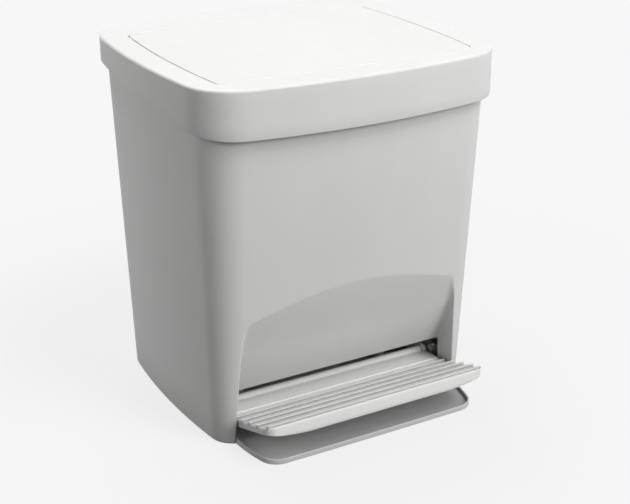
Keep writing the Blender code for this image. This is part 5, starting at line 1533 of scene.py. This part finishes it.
def rubber_feet(finish):
    bm = bmesh.new()
    radius, top = FOOT_PAD_RADIUS, FOOT_PAD_TOP
    hollow, depth = FOOT_HOLLOW_RADIUS, FOOT_HOLLOW_DEPTH
    add_lathe(bm, [
        (0, depth), (hollow, depth), (hollow + EDGE_BREAK, 0), (radius - EDGE_BREAK, 0), (radius, EDGE_BREAK),
        (radius, top), (0, top),
    ], (0, 0, 0), (0, 0, 1))
    places = four_places(FOOT_PAD_X, FOOT_PAD_YS, 0.0)
    scattered("rubber_feet", four_nodes("foot_pad"), pattern_piece("rubber_foot", bm), places, finish)


def flap_buffers(finish):
    """Two buffers on the ledge under the flap's bowed front edge."""
    bm = bmesh.new()
    low = LID_UNDERSIDE - LEDGE_DROP - LEDGE_THICK
    high = LID_UNDERSIDE - SEAT_GAP
    head = dome(BUFFER_RADIUS, high - BUFFER_DOME, high, 5)
    add_lathe(bm, [(0, low), (BUFFER_RADIUS, low), *head, (0, high)], (0, 0, 0), (0, 0, 1), 28)
    curve = side_radius(FLAP_PLAN.width / 2 - FLAP_PLAN.side_bow, FLAP_PLAN.front_bow)
    x = BUFFER_X
    y = -FLAP_PLAN.front + curve - sqrt(curve * curve - x * x) - FLAP_SEAM + LEDGE_WIDTH / 2
    names = ["flap_buffer_left", "flap_buffer_right"]
    scattered("flap_buffers", names, pattern_piece("buffer", bm), [(-x, y, 0), (x, y, 0)], finish)


# Finishes

class Finish(NodeMaker):
    """One material's nodes. Lengths are in metres on Object coordinates, so a grain keeps its real size."""

    def __init__(self, name, constants):
        self.material = bpy.data.materials.new(name)
        self.material.use_nodes = True
        super().__init__(self.material.node_tree)
        self.shader = self.tree.nodes["Principled BSDF"]
        for socket, constant in constants.items():
            self.shader.inputs[socket].default_value = constant

    def feed(self, **links):
        """Links what varies over the surface to the shader."""
        for socket, given in links.items():
            self.link(given, self.shader.inputs[socket.replace("_", " ")])

    def place(self, shift=(0, 0, 0), stretch=(1, 1, 1)):
        coordinates = self.node("ShaderNodeTexCoord", output="Object")
        return self.node("ShaderNodeMapping", {"Vector": coordinates, "Location": shift, "Scale": stretch})

    def noise(self, place, scale, detail=2.0):
        return self.node("ShaderNodeTexNoise", {"Vector": place, "Scale": scale, "Detail": detail})

    def ramp(self, given, low, high):
        return self.node("ShaderNodeMapRange", {"Value": given, "From Min": low, "From Max": high},
                         interpolation_type="SMOOTHSTEP")

    def mix(self, share, first, second):
        return self.node("ShaderNodeMix", {0: share, 6: first, 7: second}, output=2, data_type="RGBA")

    def edges(self, low, high):
        """Where the surface turns sharply outwards."""
        return self.ramp(self.node("ShaderNodeNewGeometry", output="Pointiness"), low, high)

    def bump(self, height, strength, distance):
        return self.node("ShaderNodeBump", {"Height": height, "Strength": strength, "Distance": distance})


def shade(colour, factor=1.0):
    """A colour made lighter or darker, as four numbers."""
    return (*(min(part * factor, 1.0) for part in colour), 1.0)


def grey(level, factor=1.0):
    return shade((level, level, level), factor)


def moulded_plastic(name, colour, roughness, shift, grain=1.0, wear=0.5, painted_shade=0.2, reach=80 * MM):
    """Satin moulded plastic: eroded grain, faint flow marks, shade painted into hollows by ambient occlusion, edges
    scuffed by use.
    """
    made = Finish(name, {"IOR": 1.46})
    place = made.place(shift)
    broad = made.noise(place, 6.0)
    flow = made.noise(made.place(shift, (1.0, 1.0, 0.22)), 38.0)
    speck = made.noise(place, 420.0, 3.0)
    eroded = made.noise(place, 1450.0)
    tone = broad * 0.5 + flow * 0.3 + speck * 0.2
    worn = made.edges(0.515, 0.56) * made.ramp(made.noise(place, 85.0, 3.0), 0.38, 0.68)
    base = made.mix(made.ramp(tone, 0.3, 0.7), shade(colour, 0.978), shade(colour, 1.014))
    base = made.mix(worn * wear, base, shade(colour, 1.05))
    # Painted shade: where ambient occlusion finds nearby surfaces, in recesses, creases and under overhangs, the
    # colour is darkened towards half its value, broken up a little by the broad noise.
    hollow = made.node("ShaderNodeAmbientOcclusion", {"Distance": reach}, output="AO", samples=8)
    hollow = made.ramp(1.0 - hollow, 0.05, 0.95) * (0.85 + broad * 0.3)
    base = made.mix(hollow * painted_shade, base, shade(colour, 0.5))
    scuffs = made.ramp(made.noise(made.place(shift, (1.0, 0.35, 1.0)), 24.0, 4.0), 0.52, 0.72)
    rough = roughness + (broad - 0.5) * 0.10 + (speck - 0.5) * 0.10 + scuffs * 0.05 + worn * 0.10
    bump = made.bump(eroded * 0.7 + speck * 0.3, 0.22 * grain, 0.12 * MM)
    made.feed(Base_Color=base, Roughness=rough, Normal=bump)
    return made.material


def plated_steel(name, colour, roughness):
    """Bright zinc plate on wire and screws: faint crystal patches, drawing lines and lighter rubbed edges."""
    made = Finish(name, {"Metallic": 1.0})
    place = made.place()
    patches = made.node("ShaderNodeTexVoronoi", {"Vector": place, "Scale": 460.0}, output="Color")
    patch = made.noise(patches, 3.0)
    lines = made.noise(made.place((0, 0, 0), (9.0, 9.0, 0.5)), 220.0, 3.0)
    stain = made.noise(place, 45.0, 4.0)
    worn = made.edges(0.52, 0.6)
    base = made.mix(made.ramp(patch * 0.5 + stain * 0.5, 0.3, 0.7), shade(colour, 0.86), shade(colour, 1.1))
    base = made.mix(worn * 0.4, base, shade(colour, 1.2))
    rough = roughness + (patch - 0.5) * 0.16 + (lines - 0.5) * 0.14 + (stain - 0.5) * 0.1
    bump = made.bump(lines * 0.6 + patch * 0.4, 0.18, 0.05 * MM)
    made.feed(Base_Color=base, Roughness=rough, Normal=bump)
    return made.material


def soft_rubber(name, colour, roughness):
    """Matt rubber with a fine pebbled face and dust held in it."""
    made = Finish(name, {"IOR": 1.5})
    place = made.place()
    pebbles = made.noise(place, 1900.0)
    dust = made.ramp(made.noise(place, 160.0, 4.0), 0.5, 0.75)
    base = made.mix(dust * 0.5 + made.edges(0.52, 0.6) * 0.3, shade(colour, 1.0), shade(colour, 2.6))
    rough = roughness + dust * 0.12 + (pebbles - 0.5) * 0.1
    bump = made.bump(pebbles, 0.4, 0.1 * MM)
    made.feed(Base_Color=base, Roughness=rough, Normal=bump)
    return made.material


def seen_ray(made):
    """1 for what the camera sees, directly or in a gloss or a clear part, and 0 for light that bounces."""
    camera, gloss, clear = (made.node("ShaderNodeLightPath", output=f"Is {kind} Ray")
                            for kind in ("Camera", "Glossy", "Transmission"))
    return (camera + gloss).most(clear)


# Camera and studio

CAMERA_PLACE = (-0.75536, -1.34589, 0.82573)
CAMERA_TARGET = (0.03124, 0.01773, 0.15825)
CAMERA_ROLL = radians(0.17)
LENS = 76.16
SENSOR = 36.0

# Name, place, side of the square and watts of each lamp
LAMP_TARGET = (0, 0, 0.2)
LAMPS = (
    ("key_lamp", (0.75, -1.5, 2.55), 1.2, 34),
    ("front_lamp", (0.9, -2.35, 1.4), 1.2, 39),
    ("top_lamp", (0.0, 1.2, 2.4), 1.4, 32),
    ("left_lamp", (-2.4, -0.1, 1.2), 1.2, 13),
    ("back_lamp", (-1.3, 2.4, 1.1), 1.4, 8),
)
FLOOR_REACH = 6.0
FLOOR_WHITE = 0.80
FLOOR_SHADE = 0.16
BACKGROUND_WHITE = 0.93
FLOOR_BOUNCE = 0.06
WORLD_BOUNCE = 0.03


def add_holder(name, data, place, target, roll=0.0):
    """Puts a camera or a lamp in its place, looking at its target."""
    holder = bpy.data.objects.new(name, data)
    bpy.context.scene.collection.objects.link(holder)
    turn = (Vector(target) - Vector(place)).to_track_quat("-Z", "Y").to_matrix().to_4x4()
    holder.matrix_world = Matrix.Translation(place) @ turn @ Matrix.Rotation(roll, 4, "Z")
    return holder


def add_camera():
    camera = bpy.data.cameras.new("camera")
    camera.lens = LENS
    camera.sensor_width = SENSOR
    camera.sensor_fit = "HORIZONTAL"
    bpy.context.scene.camera = add_holder("camera", camera, CAMERA_PLACE, CAMERA_TARGET, CAMERA_ROLL)


def add_lamp(name, place, size, power):
    lamp = bpy.data.lights.new(name, "AREA")
    lamp.shape = "SQUARE"
    lamp.size = size
    lamp.energy = power
    add_holder(name, lamp, place, LAMP_TARGET)


def floor_finish():
    """White to the eye, with a soft shadow near the object; light that bounces meets a darker floor."""
    made = Finish("studio_floor", {})
    place = made.place()
    mottle = made.ramp(made.noise(place, 3.0, 3.0), 0.2, 0.8)
    near = made.node("ShaderNodeVectorMath", {0: place}, output="Value", operation="LENGTH")
    near = 1.0 - made.ramp(near, 0.25, 0.8)
    white = made.mix(mottle, grey(FLOOR_WHITE, 0.99), grey(FLOOR_WHITE, 1.01))
    lit = made.node("ShaderNodeBsdfDiffuse", {"Color": white})
    glow = made.node("ShaderNodeEmission", {"Color": grey(BACKGROUND_WHITE)})
    seen = made.node("ShaderNodeMixShader", {0: near * FLOOR_SHADE, 1: glow, 2: lit})
    dim = made.node("ShaderNodeBsdfDiffuse", {"Color": grey(FLOOR_BOUNCE)})
    whole = made.node("ShaderNodeMixShader", {0: seen_ray(made), 1: dim, 2: seen})
    made.link(whole, made.tree.nodes["Material Output"].inputs["Surface"])
    return made.material


def add_world():
    world = bpy.data.worlds.new("studio")
    bpy.context.scene.world = world
    world.use_nodes = True
    made = NodeMaker(world.node_tree)
    background = made.tree.nodes["Background"]
    background.inputs["Color"].default_value = (1, 1, 1, 1)
    strength = WORLD_BOUNCE + seen_ray(made) * (BACKGROUND_WHITE - WORLD_BOUNCE)
    made.link(strength, background.inputs["Strength"])


def add_studio():
    add_world()
    mesh = bpy.data.meshes.new("floor")
    corners = [(x * FLOOR_REACH, y * FLOOR_REACH, 0) for x, y in ((-1, -1), (1, -1), (1, 1), (-1, 1))]
    mesh.from_pydata(corners, [], [(0, 1, 2, 3)])
    floor = bpy.data.objects.new("floor", mesh)
    floor.data.materials.append(floor_finish())
    bpy.context.scene.collection.objects.link(floor)
    for name, place, size, power in LAMPS:
        add_lamp(name, place, size, power)


WHITE = (0.80, 0.80, 0.79)
# The darkening share given to each plastic paints shade into its colour in recesses and under overhangs.
BODY = moulded_plastic("white_plastic", WHITE, 0.42, (0, 0, 0), painted_shade=0.75)
FLAP = moulded_plastic("flap_plastic", WHITE, 0.40, (3.1, 1.7, 0.4))
PEDAL = moulded_plastic(
    "pedal_plastic", WHITE, 0.44, (5.3, 2.9, 1.1), grain=1.4, wear=0.8, painted_shade=0.8, reach=22 * MM
)
TRAY = moulded_plastic(
    "tray_plastic", (0.76, 0.76, 0.755), 0.46, (7.7, 4.1, 2.3), grain=1.2, wear=0.7, painted_shade=0.65
)
BUCKET = moulded_plastic("bucket_plastic", (0.32, 0.33, 0.34), 0.44, (9.1, 6.7, 3.9))
STEEL = plated_steel("zinc_steel", (0.62, 0.62, 0.60), 0.34)
RUBBER = soft_rubber("rubber", (0.03, 0.03, 0.03), 0.8)

add_camera()
add_studio()
body_shell(BODY)
lid_frame(BODY)
flap_panel(FLAP)
flap_ribs(FLAP)
pedal_plate(PEDAL)
grip_bars(PEDAL)
cell_webs(PEDAL)
base_tray(TRAY)
inner_bucket(BUCKET)
screws(STEEL)
rubber_feet(RUBBER)
flap_buffers(RUBBER)
turned_bar("axle", "pedal_axle", -AXLE_HALF, AXLE_HALF, PIVOT_Y, PIVOT_Z, AXLE_RADIUS, STEEL)
for side, word in ((-1, "left"), (1, "right")):
    lift_rod(side, word, STEEL)
    retainers(side, word, STEEL)
    bearing_cap(side, word, TRAY)
    turned_bar(f"pin_{word}", f"hinge_pin_{word}", side * HINGE_PIN_INNER_X, side * HINGE_PIN_OUTER_X,
               HINGE_Y, HINGE_Z, HINGE_PIN_RADIUS, STEEL)

bpy.context.scene.view_settings.view_transform = "Standard"
